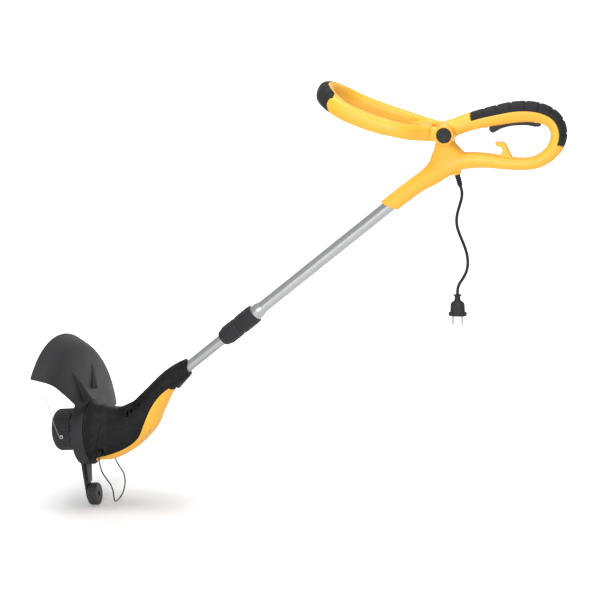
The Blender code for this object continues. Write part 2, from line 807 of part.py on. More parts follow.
def rubber_recess():
    """The cutter that seats the rubber in the shells, through the same places as the rubber's blocks."""
    stations = rubber_stations()
    last = len(stations) - 1
    edge = RUBBER_EDGE_ANGLE + RECESS_EDGE
    rings = []
    for k in range(2 * RUBBER_BLOCKS + 1):
        place = last * k / (2 * RUBBER_BLOCKS)
        centre, up, height, width = station_at(stations, place)
        if k in (0, 2 * RUBBER_BLOCKS):
            other = stations[1] if k == 0 else stations[-2]
            centre = centre + (centre - other[0]).normalized() * GAP
        rings.append(rubber_section((centre, up, height, width), RECESS_REACH, -RUBBER_THICKNESS - GAP, edge))
    return loft("rubber_recess", rings)


def trigger_outline(clearance):
    """The trigger's side view: a curved blade below the bar and a body inside it."""
    blade = [
        (0.0700, -0.0150), (0.0600, -0.0158), (0.0430, -0.0132), (0.0160, -0.0145),
        (-0.0060, -0.0202), (-0.0200, -0.0278), (-0.0262, -0.0283), (-0.0310, -0.0225),
    ]
    body = [(-0.0290, -0.0070), (0.0120, -0.0014), (0.0480, 0.0026), (0.0680, 0.0010), (0.0720, -0.0060)]
    if clearance <= 0.0:
        return blade + body
    return ([(0.0735, -0.0300), (-0.0330, -0.0400), (-0.0330, 0.0020), (-0.0250, 0.0048)]
            + [(0.0300, 0.0056), (0.0700, 0.0045), (0.0745, -0.0050)])


def trigger():
    """The trigger, hinged at its back end."""
    piece = plate("trigger", trigger_outline(0.0), -TRIGGER_HALF_WIDTH, TRIGGER_HALF_WIDTH, bevel=0.0012)
    half = Vector((0.0, 0.02, 0.0))
    bore = rod("trigger_bore", TRIGGER_PIVOT - half, TRIGGER_PIVOT + half, TRIGGER_PIN_RADIUS + GAP, 16)
    seat = rod("spring_seat", Vector((-0.0160, 0.0, -0.0100)), Vector((-0.0160, 0.0, 0.0200)), 0.0036, 16)
    combine(piece, [bore, seat], "DIFFERENCE")
    return finish(piece, BLACK, 0.45)


def half_space(sign, middle):
    """Everything on one side of the plane of symmetry, round a point, less half of the parting gap."""
    centre = Vector((middle.x, sign * (CLEAR_OF + GAP / 2), middle.z))
    return block("half_space", centre, Vector((CLEAR_OF * 4, CLEAR_OF, CLEAR_OF * 4)))


def handle_shells():
    """The two handle halves: outside less hollow, recess, bores and pockets, parted at Y = 0."""
    outside = handle_solid(0.0)
    hollow = handle_solid(HANDLE_WALL)
    blocks = [
        block("keep_switch", SWITCH_CENTRE, SWITCH_HALF + Vector((0.004, 0.03, 0.02))),
        block("keep_hub", HUB, Vector((0.010, 0.03, 0.016))),
        block("keep_pin", TRIGGER_PIVOT, Vector((0.006, 0.03, 0.008))),
    ]
    for x, z, half_x, half_z in HANDLE_WEBS:
        blocks.append(block("keep_web", Vector((x, 0.0, z)), Vector((half_x, 0.03, half_z))))
    for x, z in HANDLE_SCREWS:
        blocks.append(rod("keep_screw", Vector((x, -0.03, z)), Vector((x, 0.03, z)), SCREW_HEAD_RADIUS + 0.0018, 8))
    combine(hollow, blocks, "DIFFERENCE")
    tube_bore = rod("tube_bore", shaft_point(-TUBE_IN_HANDLE - GAP), shaft_point(0.04),
                    UPPER_TUBE_RADIUS + GAP, 32)
    slot = plate("trigger_slot", trigger_outline(GAP), -TRIGGER_HALF_WIDTH - SLIDE_GAP,
                 TRIGGER_HALF_WIDTH + SLIDE_GAP)
    half = Vector((0.0, 0.0122, 0.0))
    pin = rod("pin_bore", TRIGGER_PIVOT - half, TRIGGER_PIVOT + half, TRIGGER_PIN_RADIUS + GAP, 16)
    pocket = block("switch_pocket", SWITCH_CENTRE, SWITCH_HALF + Vector((GAP, GAP, GAP)))
    well = rod("spring_well", Vector((-0.0160, 0.0, -0.0010)), Vector((-0.0160, 0.0, 0.0120)), 0.0038, 16)
    reach = Vector((0.0, 0.2, 0.0))
    bolt = rod("bolt_bore", HUB - reach, HUB + reach, PIVOT_BOLT_RADIUS + GAP, 20)
    toward = (RELIEF_TOP - RELIEF_END).normalized()
    relief = rod("relief_bore", RELIEF_END, RELIEF_TOP + toward * 0.0125, RELIEF_RADIUS * 0.62 + GAP, 20)
    flange = rod("relief_groove", RELIEF_TOP + toward * 0.0035, RELIEF_TOP + toward * 0.0085,
                 RELIEF_RADIUS + 0.0008, 20)
    cutters = [hollow, rubber_recess(), tube_bore, slot, pin, pocket, well, bolt, relief, flange]
    combine(outside, cutters + screw_bores(), "DIFFERENCE")
    halves = []
    for name, sign in (("handle_shell_near", -1.0), ("handle_shell_far", 1.0)):
        half_shell = copy_of(outside, name)
        keep = half_space(sign, HUB)
        combine(half_shell, [keep], "INTERSECT")
        halves.append(half_shell)
    bpy.data.objects.remove(outside, do_unlink=True)
    return halves


def handle_screws():
    """Screws that close the handle, sunk into the far half."""
    for k, (x, z) in enumerate(HANDLE_SCREWS):
        head = Vector((x, SCREW_HEAD_AT, z))
        piece = rod("handle_screw_%d" % (k + 1), head, head - SIDE * SCREW_LENGTH, SCREW_RADIUS, 10)
        cap = rod("screw_cap", head + SIDE * SCREW_HEAD_HEIGHT, head - SIDE * 0.0005, SCREW_HEAD_RADIUS, 12)
        combine(piece, [cap], "UNION")
        finish(piece, STEEL, 0.4, 0.9)


def screw_bores():
    """The holes of the handle screws."""
    cutters = []
    for x, z in HANDLE_SCREWS:
        head = Vector((x, SCREW_HEAD_AT, z))
        cutters.append(rod("bore", head + SIDE * 0.03, head - SIDE * (SCREW_LENGTH + GAP), SCREW_RADIUS + GAP, 10))
        cutters.append(rod("sink", head + SIDE * 0.03, head - SIDE * (0.0005 + GAP), SCREW_HEAD_RADIUS + GAP, 12))
    return cutters


def switch_parts():
    """The switch with its plunger, the trigger pin and the trigger spring."""
    switch = block("switch", SWITCH_CENTRE, SWITCH_HALF, bevel=0.0008)
    finish(switch, GREY, 0.5)
    half = Vector((0.0, 0.0118, 0.0))
    pin = rod("trigger_pin", TRIGGER_PIVOT - half, TRIGGER_PIVOT + half, TRIGGER_PIN_RADIUS, 16)
    finish(pin, STEEL, 0.3, 1.0)
    seat = Vector((-0.0160, 0.0, -0.0098))
    turns = 3.0
    count = int(turns * 8)
    rise = 0.0205
    points = []
    for k in range(count + 1):
        angle = 2.0 * pi * turns * k / count
        points.append(seat + Vector((0.0026 * cos(angle), 0.0026 * sin(angle), 0.0006 + rise * k / count)))
    coil = coil_tube("trigger_spring", points, 0.0004)
    finish(coil, STEEL, 0.3, 1.0)


def coil_tube(name, points, radius, sides=1):
    """A thin tube straight through given points, meshed."""
    curve = bpy.data.curves.new(name, "CURVE")
    curve.dimensions = "3D"
    spline = curve.splines.new("POLY")
    spline.points.add(len(points) - 1)
    for slot, point in zip(spline.points, points):
        slot.co = (*point, 1.0)
    curve.bevel_depth = radius
    curve.bevel_resolution = sides
    curve.use_fill_caps = True
    thing = bpy.data.objects.new(name + "_curve", curve)
    bpy.context.scene.collection.objects.link(thing)
    return meshed(thing, name)


# Mains cord

def mains_cord():
    """Strain relief, free cord and plug."""
    down = (RELIEF_END - RELIEF_TOP).normalized()
    length = (RELIEF_END - RELIEF_TOP).length
    neck = RELIEF_RADIUS * 0.62
    profile = [
        (0.0, -0.0120), (neck, -0.0120), (neck, -0.0080), (RELIEF_RADIUS + 0.0005, -0.0080),
        (RELIEF_RADIUS + 0.0005, -0.0040), (neck, -0.0040), (neck, GAP), (RELIEF_RADIUS, GAP),
        (RELIEF_RADIUS, 0.0040), (RELIEF_RADIUS - 0.0004, length - 0.0050),
        (CORD_DIAMETER / 2 + 0.0012, length - GAP), (0.0, length - GAP),
    ]
    relief = turned("strain_relief", profile, frame_along(RELIEF_TOP, down), 16)
    finish(relief, BLACK, 0.55)
    points = [Vector((x, 0.0, z)) for x, z in CORD_ROUTE]
    cord = tube_route("mains_cord", points, CORD_DIAMETER / 2, 2, CORD_POINTS)
    cord.data.materials.append(make_material("mains_cord_finish", BLACK, 0.5))
    plug(points[-1] - Vector((0.0, 0.0, GAP)))


def plug(top):
    """A two-pin plug hanging from the cord's end."""
    x, z = top.x, top.z
    levels = [
        (0.0, PLUG_RADIUS, PLUG_RADIUS), (0.0022, PLUG_RADIUS, PLUG_RADIUS),
        (0.0028, 0.0058, 0.0058), (PLUG_NECK * 0.75, 0.0062, 0.0060),
        (PLUG_NECK, 0.0110, 0.0075), (PLUG_NECK + 0.004, PLUG_HALF_WIDTH - 0.001, PLUG_HALF_DEPTH - 0.001),
        (PLUG_NECK + PLUG_BODY, PLUG_HALF_WIDTH, PLUG_HALF_DEPTH),
        (PLUG_NECK + PLUG_BODY + 0.0008, PLUG_HALF_WIDTH + PLUG_FLANGE_GROWTH, PLUG_HALF_DEPTH + 0.0025),
        (PLUG_NECK + PLUG_BODY + PLUG_FLANGE, PLUG_HALF_WIDTH + PLUG_FLANGE_GROWTH, PLUG_HALF_DEPTH + 0.0025),
    ]
    rings = []
    for drop, half_x, half_y in levels:
        centre = Vector((x, 0.0, z - drop))
        rings.append(section(centre, SIDE, Vector((1.0, 0.0, 0.0)), half_y, half_x, 16, 2.3))
    body = loft("plug_body", rings)
    face = z - levels[-1][0]
    bores = []
    for name, sign in (("plug_pin_near", -1.0), ("plug_pin_far", 1.0)):
        start = Vector((x + sign * PIN_SPACING / 2, 0.0, face + 0.010))
        end = Vector((x + sign * PIN_SPACING / 2, 0.0, face - PIN_LENGTH))
        bores.append(rod("pin_bore", start + Vector((0.0, 0.0, GAP)), end, PIN_RADIUS + GAP, 16))
        profile = [(0.0, 0.0), (PIN_RADIUS, 0.0), (PIN_RADIUS, 0.010 + PIN_LENGTH - 0.001),
                   (PIN_RADIUS - 0.001, 0.010 + PIN_LENGTH), (0.0, 0.010 + PIN_LENGTH)]
        pin = turned(name, profile, frame_along(start, end - start), 16)
        finish(pin, STEEL, 0.25, 1.0)
    combine(body, bores, "DIFFERENCE")
    finish(body, BLACK, 0.45)


# Front handle

def hoop_stations(steps=HOOP_STEPS):
    """The hoop's sections from the near hub round the front to the far hub."""
    near = [(x, -y, z, h, t) for x, y, z, h, t in HOOP_ROUTE]
    far = [(x, y, z, h, t) for x, y, z, h, t in HOOP_ROUTE[-2::-1]]
    run = blend_route(near + far, steps)
    stations = []
    for k, (x, y, z, height, thickness) in enumerate(run):
        before = Vector(run[max(k - 1, 0)][:3])
        after = Vector(run[min(k + 1, len(run) - 1)][:3])
        along = (after - before).normalized()
        lean = HOOP_LEAN * min(1.0, max(0.0, (HUB.x - x) / HOOP_REACH))
        up = Vector((sin(lean), 0.0, cos(lean)))
        side = along.cross(up).normalized()
        up = side.cross(along).normalized()
        stations.append((Vector((x, y, z)), up, side, height, thickness))
    return stations


def hoop_solid(shrink=0.0):
    """The hoop as one lofted bar."""
    rings = []
    for centre, up, side, height, thickness in hoop_stations():
        rings.append(section(centre, up, side, height - shrink, thickness - shrink, 10, 2.4))
    return loft("hoop", rings)


def front_handle():
    """The hoop with its bridge and cheeks, and the black grip over its front."""
    hoop = hoop_solid()
    bridge_rings = []
    for share in (-1.0, -0.7, -0.35, 0.0, 0.35, 0.7, 1.0):
        front = BRIDGE_FRONT - BRIDGE_FLARE * abs(share) ** 2.5
        centre = Vector(((front + BRIDGE_BACK) / 2, BRIDGE_HALF_WIDTH * share, BRIDGE_CENTRE_Z))
        bridge_rings.append(section(centre, Vector((0.0, 0.0, 1.0)), Vector((1.0, 0.0, 0.0)),
                                    BRIDGE_HALF_HEIGHT, (BRIDGE_BACK - front) / 2, 12, 4.0))
    parts = [loft("bridge", bridge_rings)]
    inner = HUB_HALF_WIDTH + TURN_GAP
    for sign in (-1.0, 1.0):
        parts.append(rod("cheek", HUB + SIDE * sign * inner, HUB + SIDE * sign * (inner + CHEEK_THICKNESS),
                         HUB_RADIUS, 32))
    combine(hoop, parts, "UNION")
    clear = rod("neck_clearance", HUB - SIDE * inner, HUB + SIDE * inner, HUB_RADIUS + CHEEK_SWEEP, 40)
    outer = inner + CHEEK_THICKNESS
    wells = [clear]
    for sign, travel in ((-1.0, BUTTON_TRAVEL), (1.0, 0.0)):
        wells.append(rod("button_well", HUB + SIDE * sign * (outer - BUTTON_DEPTH - travel - GAP),
                         HUB + SIDE * sign * (outer + 0.03), BUTTON_RADIUS + GAP, 40))
    wells.append(rod("bolt_bore", HUB - SIDE * 0.1, HUB + SIDE * 0.1, PIVOT_BOLT_RADIUS + GAP, 20))
    combine(hoop, wells, "DIFFERENCE")
    region = front_region()
    core = hoop_solid(FRONT_GRIP_WALL)
    grip = copy_of(hoop, "front_grip")
    combine(grip, [copy_of(region, "keep_front")], "INTERSECT")
    core_cut = hoop_solid(FRONT_GRIP_WALL - GAP)
    combine(grip, [core_cut], "DIFFERENCE")
    finish(grip, BLACK, 0.6)
    piece = hoop
    piece.name = "front_handle"
    piece.data.name = "front_handle"
    grown = front_region(GAP)
    combine(piece, [grown], "DIFFERENCE")
    wide = front_region(HOOP_REACH / 8)
    combine(core, [wide], "INTERSECT")
    combine(piece, [core], "UNION")
    bpy.data.objects.remove(region, do_unlink=True)
    finish(tidy(piece), YELLOW, 0.42)


def front_region(grow=0.0):
    """The space of the front grip: outside the hoop's middle and ahead of a line with a tongue at its top."""
    stations = hoop_stations()
    middle = len(stations) // 2
    reach = FRONT_GRIP_STATIONS * HOOP_STEPS
    tall = HOOP_REACH / 3
    rings = []
    for centre, up, side, height, thickness in stations[middle - reach:middle + reach + 1]:
        rings.append([centre + side * across + up * rise for across, rise in (
            (grow, -tall), (-tall, -tall), (-tall, tall), (grow, tall))])
    outside = loft("outside", rings)
    front = stations[middle][0]
    outline = [(front.x + back + grow, front.z + rise) for back, rise in FRONT_GRIP_LINE]
    outline += [(front.x - CLEAR_OF, outline[-1][1]), (front.x - CLEAR_OF, outline[0][1])]
    return combine(outside, [plate("ahead", outline, -CLEAR_OF, CLEAR_OF)], "INTERSECT")


def pivot_parts():
    """The bolt through the hub, the near lock button, its spring and the far cap."""
    outer = HUB_HALF_WIDTH + TURN_GAP + CHEEK_THICKNESS
    seat = outer - BUTTON_DEPTH - BUTTON_TRAVEL
    start = HUB - SIDE * (seat + 0.0015)
    end = HUB + SIDE * (outer - BUTTON_DEPTH + 0.0015)
    finish(rod("pivot_bolt", start, end, PIVOT_BOLT_RADIUS, 20), STEEL, 0.35, 1.0)
    depth = BUTTON_DEPTH + BUTTON_STAND

    profile = [
        (0.0, 0.0025), (0.0060, 0.0025), (0.0060, 0.0), (BUTTON_RADIUS, 0.0), (BUTTON_RADIUS, depth - 0.0012),
        (BUTTON_RADIUS - 0.0012, depth), (BUTTON_RADIUS - 0.0030, depth),
        (BUTTON_RADIUS - 0.0034, depth - 0.0008), (0.0, depth - 0.0004),
    ]
    for name, sign in (("lock_button", -1.0), ("pivot_cap", 1.0)):
        floor = HUB + SIDE * sign * (outer - BUTTON_DEPTH)
        finish(turned(name, profile, frame_along(floor, SIDE * sign), 22), BLACK, 0.5)
    count = 16
    rise = BUTTON_TRAVEL + 0.0025 - 0.0016
    points = []
    for k in range(count + 1):
        angle = 4.0 * pi * k / count
        points.append(HUB + Vector((0.0050 * cos(angle), -(seat + 0.0005 + rise * k / count), 0.0050 * sin(angle))))
    finish(coil_tube("button_spring", points, 0.0005), STEEL, 0.3, 1.0)


# Shaft

def shaft_parts():
    """Upper tube, clamp collar, collet, nut, lower tube, bushing and swivel ring."""
    inner = UPPER_TUBE_RADIUS - UPPER_TUBE_WALL
    flare_inner = FLARE_RADIUS - UPPER_TUBE_WALL
    cuff = FLARE_START + FLARE_LENGTH
    tube_end = cuff + FLARE_CUFF
    upper = turned("upper_tube", [
        (UPPER_TUBE_RADIUS, -TUBE_IN_HANDLE), (UPPER_TUBE_RADIUS, FLARE_START), (FLARE_RADIUS, cuff),
        (FLARE_RADIUS, tube_end), (flare_inner, tube_end), (flare_inner, cuff),
        (inner, FLARE_START), (inner, -TUBE_IN_HANDLE)], SHAFT_FRAME, 28)
    finish(upper, ALUMINIUM, 0.3, 1.0)

    end = COLLAR_START + COLLAR_LENGTH
    nose_end = end + NOSE_LENGTH
    nose_bore = COLLET_RADIUS + GAP
    collar = turned("clamp_collar", [
        (COLLAR_RADIUS - 0.0015, COLLAR_START), (COLLAR_RADIUS, COLLAR_START + 0.0015), (COLLAR_RADIUS, end),
        (NOSE_RADIUS, end), (NOSE_RADIUS, nose_end), (nose_bore, nose_end),
        (nose_bore, tube_end + 0.003), (FLARE_RADIUS + GAP, tube_end + GAP),
        (FLARE_RADIUS + GAP, COLLAR_START)], SHAFT_FRAME, 28)
    finish(collar, BLACK, 0.5)

    slide = LOWER_TUBE_RADIUS + GAP
    collet = turned("clamp_collet", [
        (COLLET_RADIUS, tube_end + 0.006), (COLLET_RADIUS, nose_end + 0.003), (COLLET_RADIUS - 0.0015, nose_end + 0.006),
        (slide, nose_end + 0.006), (slide, tube_end + 0.006)], SHAFT_FRAME, 24)
    split = block("split", Vector((0.0, 0.012, nose_end - 0.015)), Vector((0.0008, 0.008, 0.040)), SHAFT_FRAME)
    combine(collet, [split], "DIFFERENCE")
    finish(collet, GREY, 0.6)

    nut_start = end + TURN_GAP
    nut_end = end + NUT_LENGTH
    rib_start = nut_start + 0.004
    rib_end = nut_end - 0.013

    def ribbed(radius, height, k):
        if radius > NUT_RADIUS - 0.0001 and rib_start - 1e-6 < height < rib_end + 1e-6 and k % 2:
            return radius - NUT_RIB_DEPTH
        return radius

    bore = NOSE_RADIUS + GAP
    nut = turned("clamp_nut", [
        (NUT_RADIUS - 0.0010, nut_start), (NUT_RADIUS - 0.0006, rib_start - 0.001), (NUT_RADIUS, rib_start),
        (NUT_RADIUS, rib_end), (NUT_RADIUS - 0.0006, rib_end + 0.001), (NUT_TIP_RADIUS + 0.0016, nut_end - 0.003),
        (NUT_TIP_RADIUS - 0.0006, nut_end), (LOWER_TUBE_RADIUS + TURN_GAP, nut_end),
        (LOWER_TUBE_RADIUS + TURN_GAP, nut_end - 0.003), (COLLET_RADIUS + GAP, nut_end - 0.0065),
        (COLLET_RADIUS + GAP, nose_end + 0.0012), (bore, nose_end + 0.0006), (bore, nut_start)],
        SHAFT_FRAME, NUT_RIBS * 2, ribbed)
    finish(nut, BLACK, 0.5)

    inner = LOWER_TUBE_RADIUS - LOWER_TUBE_WALL
    top = LOWER_TUBE_TOP
    bottom = HOUSING_MOUTH + TUBE_IN_HOUSING
    lower = turned("lower_tube", [
        (LOWER_TUBE_RADIUS, top), (LOWER_TUBE_RADIUS, bottom), (inner, bottom), (inner, top)], SHAFT_FRAME, 28)
    finish(lower, ALUMINIUM, 0.3, 1.0)
    bushing = turned("tube_bushing", [
        (UPPER_TUBE_RADIUS - UPPER_TUBE_WALL - GAP, top - 0.010), (UPPER_TUBE_RADIUS - UPPER_TUBE_WALL - GAP, top - GAP),
        (inner - GAP, top - GAP), (inner - GAP, top + 0.012), (inner - 0.002, top + 0.012), (inner - 0.002, top - 0.010)],
        SHAFT_FRAME, 20)
    finish(bushing, GREY, 0.6)


def swivel_ring():
    """The notched ring on the lower tube's end that the head turns on and the release locks into."""
    bottom = HOUSING_MOUTH + TUBE_IN_HOUSING
    start = bottom - SWIVEL_LENGTH

    def notched(radius, height, k):
        if radius > SWIVEL_RADIUS - 0.0001 and k % 4 == 0:
            return radius - 0.0012
        return radius

    ring = turned("swivel_ring", [
        (SWIVEL_RADIUS, start), (SWIVEL_RADIUS, bottom), (LOWER_TUBE_RADIUS + GAP, bottom),
        (LOWER_TUBE_RADIUS + GAP, start)], SHAFT_FRAME, 32, notched)
    finish(ring, GREY, 0.5)


# Motor housing

def housing_stations():
    """The housing's sections from the seat against the guard to the shaft's mouth."""
    seat = HEAD_SEAT - HEAD_UP * SEAT_DROP + SPOOL_AXIS * GAP
    mouth = shaft_point(HOUSING_MOUTH)
    inside = shaft_point(HOUSING_MOUTH + 0.026)
    inside += Vector((-sin(SHAFT_SLOPE), 0.0, cos(SHAFT_SLOPE))) * HOUSING_MOUTH_LIFT
    route = [(seat.x, seat.z, SEAT_RADIUS, SEAT_RADIUS)]
    route += [(MOUTH.x + x, MOUTH.z + z, height, width) for x, z, height, width in HOUSING_ROUTE]
    route.append((inside.x, inside.z, HOUSING_MOUTH_RADIUS + HOUSING_MOUTH_SWELL, HOUSING_MOUTH_RADIUS + HOUSING_MOUTH_SWELL))
    route.append((mouth.x, mouth.z, HOUSING_MOUTH_RADIUS, HOUSING_MOUTH_RADIUS))
    run = blend_route(route, 2)
    stations = []
    for k, (x, z, height, width) in enumerate(run):
        before = run[max(k - 1, 0)]
        after = run[min(k + 1, len(run) - 1)]
        along = Vector((after[0] - before[0], 0.0, after[1] - before[1])).normalized()
        if k == 0:
            along = SPOOL_AXIS
        if k == len(run) - 1:
            rise = SHAFT_SLOPE - HOUSING_MOUTH_LEAN
            along = Vector((cos(rise), 0.0, sin(rise)))
        up = Vector((-along.z, 0.0, along.x))
        stations.append((Vector((x, 0.0, z)), up, height, width, along))
    return stations


def housing_solid(shrink, name):
    """The housing's outside, or its hollow when a wall is taken off."""
    stations = housing_stations()
    rings = []
    sides = HOUSING_SIDES if shrink == 0.0 else HOUSING_SIDES - 4
    for k, (centre, up, height, width, along) in enumerate(stations):
        if shrink > 0.0 and (k % 2 or k > len(stations) - 6):
            continue
        if shrink > 0.0 and k == 0:
            centre = centre + along * shrink
        rings.append(section(centre, up, SIDE, height - shrink, width - shrink, sides, 2.15))
    return loft(name, rings)


def cover_region(grow=0.0):
    """The space below the line where the yellow cover parts from the housing."""
    line = blend_route([(MOUTH.x + x, MOUTH.z + z) for x, z in COVER_LINE], 2)
    outline = [(x - grow * 0.7, z + grow * 0.7) for x, z in line]
    first, last = line[0], line[-1]
    low, behind = first[1] - CLEAR_OF, first[0] - CLEAR_OF
    outline += [(last[0] + 0.026, last[1] - 0.018), (last[0] + 0.026, low), (behind, low), (behind, first[1] + grow)]
    return plate("cover_region", outline, -CLEAR_OF, CLEAR_OF)


def lower_cover(outside):
    """The yellow cover under the motor, a shell with slots along its lowest line."""
    cover = copy_of(outside, "lower_cover")
    slots = []
    for k in range(COVER_SLOTS):
        slots.append(block("cover_slot", COVER_SLOT_FIRST + COVER_SLOT_STEP * k, Vector((0.0022, 0.018, 0.02))))
    combine(cover, [cover_region()], "INTERSECT")
    combine(cover, [housing_solid(HOUSING_WALL, "cover_hollow")] + slots, "DIFFERENCE")
    finish(tidy(cover), YELLOW, 0.42)


def motor_housing():
    """Two black halves and the cover, with bores, vents, pivot bosses and the room of the release."""
    outside = housing_solid(0.0, "housing_outside")
    bosses = []
    for sign in (-1.0, 1.0):
        bosses.append(rod("boss", WIRE_PIVOT + SIDE * sign * 0.042, WIRE_PIVOT + SIDE * sign * BOSS_FACE,
                          BOSS_RADIUS, 24))
    combine(outside, bosses, "UNION")
    lower_cover(outside)
    hollow = housing_solid(HOUSING_WALL, "housing_hollow")
    seat = MOTOR_START - GAP
    keeps = [
        turned("keep_bearing", [(0.0, 0.0), (0.019, 0.0), (0.019, seat), (0.0, seat)], SPOOL_FRAME, 24),
        turned("keep_motor", [(MOTOR_RADIUS + GAP, 0.040), (0.090, 0.040), (0.090, 0.043),
                              (MOTOR_RADIUS + GAP, 0.043)], SPOOL_FRAME, 32),
    ]
    for point in GUARD_SCREWS:
        keeps.append(rod("keep_boss", head_point(0.0, *point), head_point(GUARD_SCREW_DEPTH + 0.003, *point),
                         GUARD_SCREW_RADIUS + 0.003, 16))
    combine(hollow, keeps, "DIFFERENCE")
    ring = HOUSING_MOUTH + TUBE_IN_HOUSING - SWIVEL_LENGTH
    cutters = [
        hollow,
        rod("mouth_bore", shaft_point(HOUSING_MOUTH - 0.02), shaft_point(ring + SWIVEL_LENGTH + 0.012),
            LOWER_TUBE_RADIUS + TURN_GAP, 32),
        rod("ring_room", shaft_point(ring - TURN_GAP), shaft_point(ring + SWIVEL_LENGTH + TURN_GAP),
            SWIVEL_RADIUS + TURN_GAP, 32),
        rod("spool_hole", head_point(-0.01, 0.0, 0.0), head_point(MOTOR_START + 0.001, 0.0, 0.0),
            MOTOR_SHAFT_RADIUS + 0.0025, 20),
        rod("bearing_room", head_point(MOTOR_START - BEARING_WIDTH - GAP, 0.0, 0.0),
            head_point(MOTOR_START + 0.01, 0.0, 0.0), BEARING_RADIUS + GAP, 24),
        rod("wire_hole", WIRE_PIVOT - SIDE * 0.1, WIRE_PIVOT + SIDE * 0.1, WIRE_RADIUS + GAP, 16),
        release_solid("release_room", RELEASE_TRAVEL + GAP, GAP),
        cover_region(COVER_GAP),
    ]
    for x, low in VENTS:
        for sign in (-1.0, 1.0):
            centre = MOUTH + Vector((x, sign * (VENT_FROM + VENT_REACH), low + VENT_HEIGHT))
            cutters.append(block("vent", centre, Vector((VENT_WIDTH / 2, VENT_REACH, VENT_HEIGHT))))
    for point in GUARD_SCREWS:
        cutters.append(rod("screw_bore", head_point(-0.01, *point), head_point(GUARD_SCREW_DEPTH + GAP, *point),
                           GUARD_SCREW_RADIUS + GAP, 12))
    combine(outside, cutters, "DIFFERENCE")
    for name, sign in (("motor_housing_near", -1.0), ("motor_housing_far", 1.0)):
        half_shell = copy_of(outside, name)
        keep = half_space(sign, HEAD_SEAT)
        combine(half_shell, [keep], "INTERSECT")
        finish(tidy(half_shell), BLACK, 0.5)
    bpy.data.objects.remove(outside, do_unlink=True)


def release_solid(name, extra=0.0, grow=0.0):
    """The serrated release under the mouth, or the room it slides in."""
    run = RELEASE_END - RELEASE_START
    length = run.length
    along = run.normalized()
    inward = Vector((along.z, 0.0, -along.x))
    count = RELEASE_TEETH * 2
    outline = []
    if grow > 0.0:
        for share, depth in ((-grow, -0.008), (length + extra + grow, -0.008)):
            outline.append(RELEASE_START + along * share + inward * depth)
    else:
        for k in range(count + 1):
            depth = -RELEASE_STAND if k % 2 else -RELEASE_STAND * 0.25
            outline.append(RELEASE_START + along * (length * k / count) + inward * depth)
    for share in (length + extra + grow, -grow):
        outline.append(RELEASE_START + along * share + inward * (RELEASE_DEPTH + grow))
    half = RELEASE_HALF_WIDTH + grow
    return plate(name, [(point.x, point.z) for point in outline], -half, half)


# Motor

def motor_parts():
    """The can with its end bell, bearings, brush holders and the armature on its shaft."""
    end = MOTOR_START + MOTOR_LENGTH
    inner = MOTOR_RADIUS - MOTOR_WALL
    hole = MOTOR_SHAFT_RADIUS + 0.0020
    finish(turned("motor_can", [
        (hole, MOTOR_START), (MOTOR_RADIUS, MOTOR_START), (MOTOR_RADIUS, end), (inner, end),
        (inner, MOTOR_START + MOTOR_WALL), (hole, MOTOR_START + MOTOR_WALL)], SPOOL_FRAME, 24), STEEL, 0.4, 0.9)
    low, high = end + GAP, end + GAP + END_BELL_LENGTH
    bore = BEARING_RADIUS + GAP
    seat = high - BEARING_WIDTH - GAP
    finish(turned("motor_end_bell", [
        (hole, low), (MOTOR_RADIUS, low), (MOTOR_RADIUS - 0.003, high), (bore, high), (bore, seat),
        (hole, seat)], SPOOL_FRAME, 24), GREY, 0.5)
    for name, start in (("bearing_front", MOTOR_START - BEARING_WIDTH), ("bearing_rear", high - BEARING_WIDTH)):
        stop = start + BEARING_WIDTH - GAP
        slot = MOTOR_SHAFT_RADIUS + GAP
        finish(turned(name, [(slot, start), (BEARING_RADIUS, start), (BEARING_RADIUS, stop), (slot, stop)],
                      SPOOL_FRAME, 16), STEEL, 0.25, 1.0)
    brush_at = end - 0.007
    for name, sign in (("brush_holder_near", -1.0), ("brush_holder_far", 1.0)):
        reach = (COMMUTATOR_RADIUS + TURN_GAP + inner - 0.0006) / 2
        half = (inner - 0.0006 - COMMUTATOR_RADIUS - TURN_GAP) / 2
        finish(block(name, Vector((brush_at, sign * reach, 0.0)), Vector((0.0035, half, 0.003)), HEAD_FRAME, 0.0004),
               BRASS, 0.4, 0.8)
    core_start, core_end = MOTOR_START + 0.010, MOTOR_START + 0.044
    shaft_end = high - GAP

    def slotted(radius, height, k):
        core = radius > ARMATURE_RADIUS - 0.0001
        return radius - (0.0030 if core and k % 2 else 0.0)

    finish(turned("armature", [
        (0.0, SHAFT_TIP), (MOTOR_SHAFT_RADIUS - 0.0005, SHAFT_TIP), (MOTOR_SHAFT_RADIUS, SHAFT_TIP + 0.0005),
        (MOTOR_SHAFT_RADIUS, core_start), (ARMATURE_RADIUS, core_start), (ARMATURE_RADIUS, core_end),
        (MOTOR_SHAFT_RADIUS, core_end), (MOTOR_SHAFT_RADIUS, brush_at - 0.006),
        (COMMUTATOR_RADIUS, brush_at - 0.006), (COMMUTATOR_RADIUS, brush_at + 0.005),
        (MOTOR_SHAFT_RADIUS, brush_at + 0.005), (MOTOR_SHAFT_RADIUS, shaft_end), (0.0, shaft_end)],
        SPOOL_FRAME, ARMATURE_SLOTS * 2, slotted), COPPER, 0.4, 0.8)


# Spool head

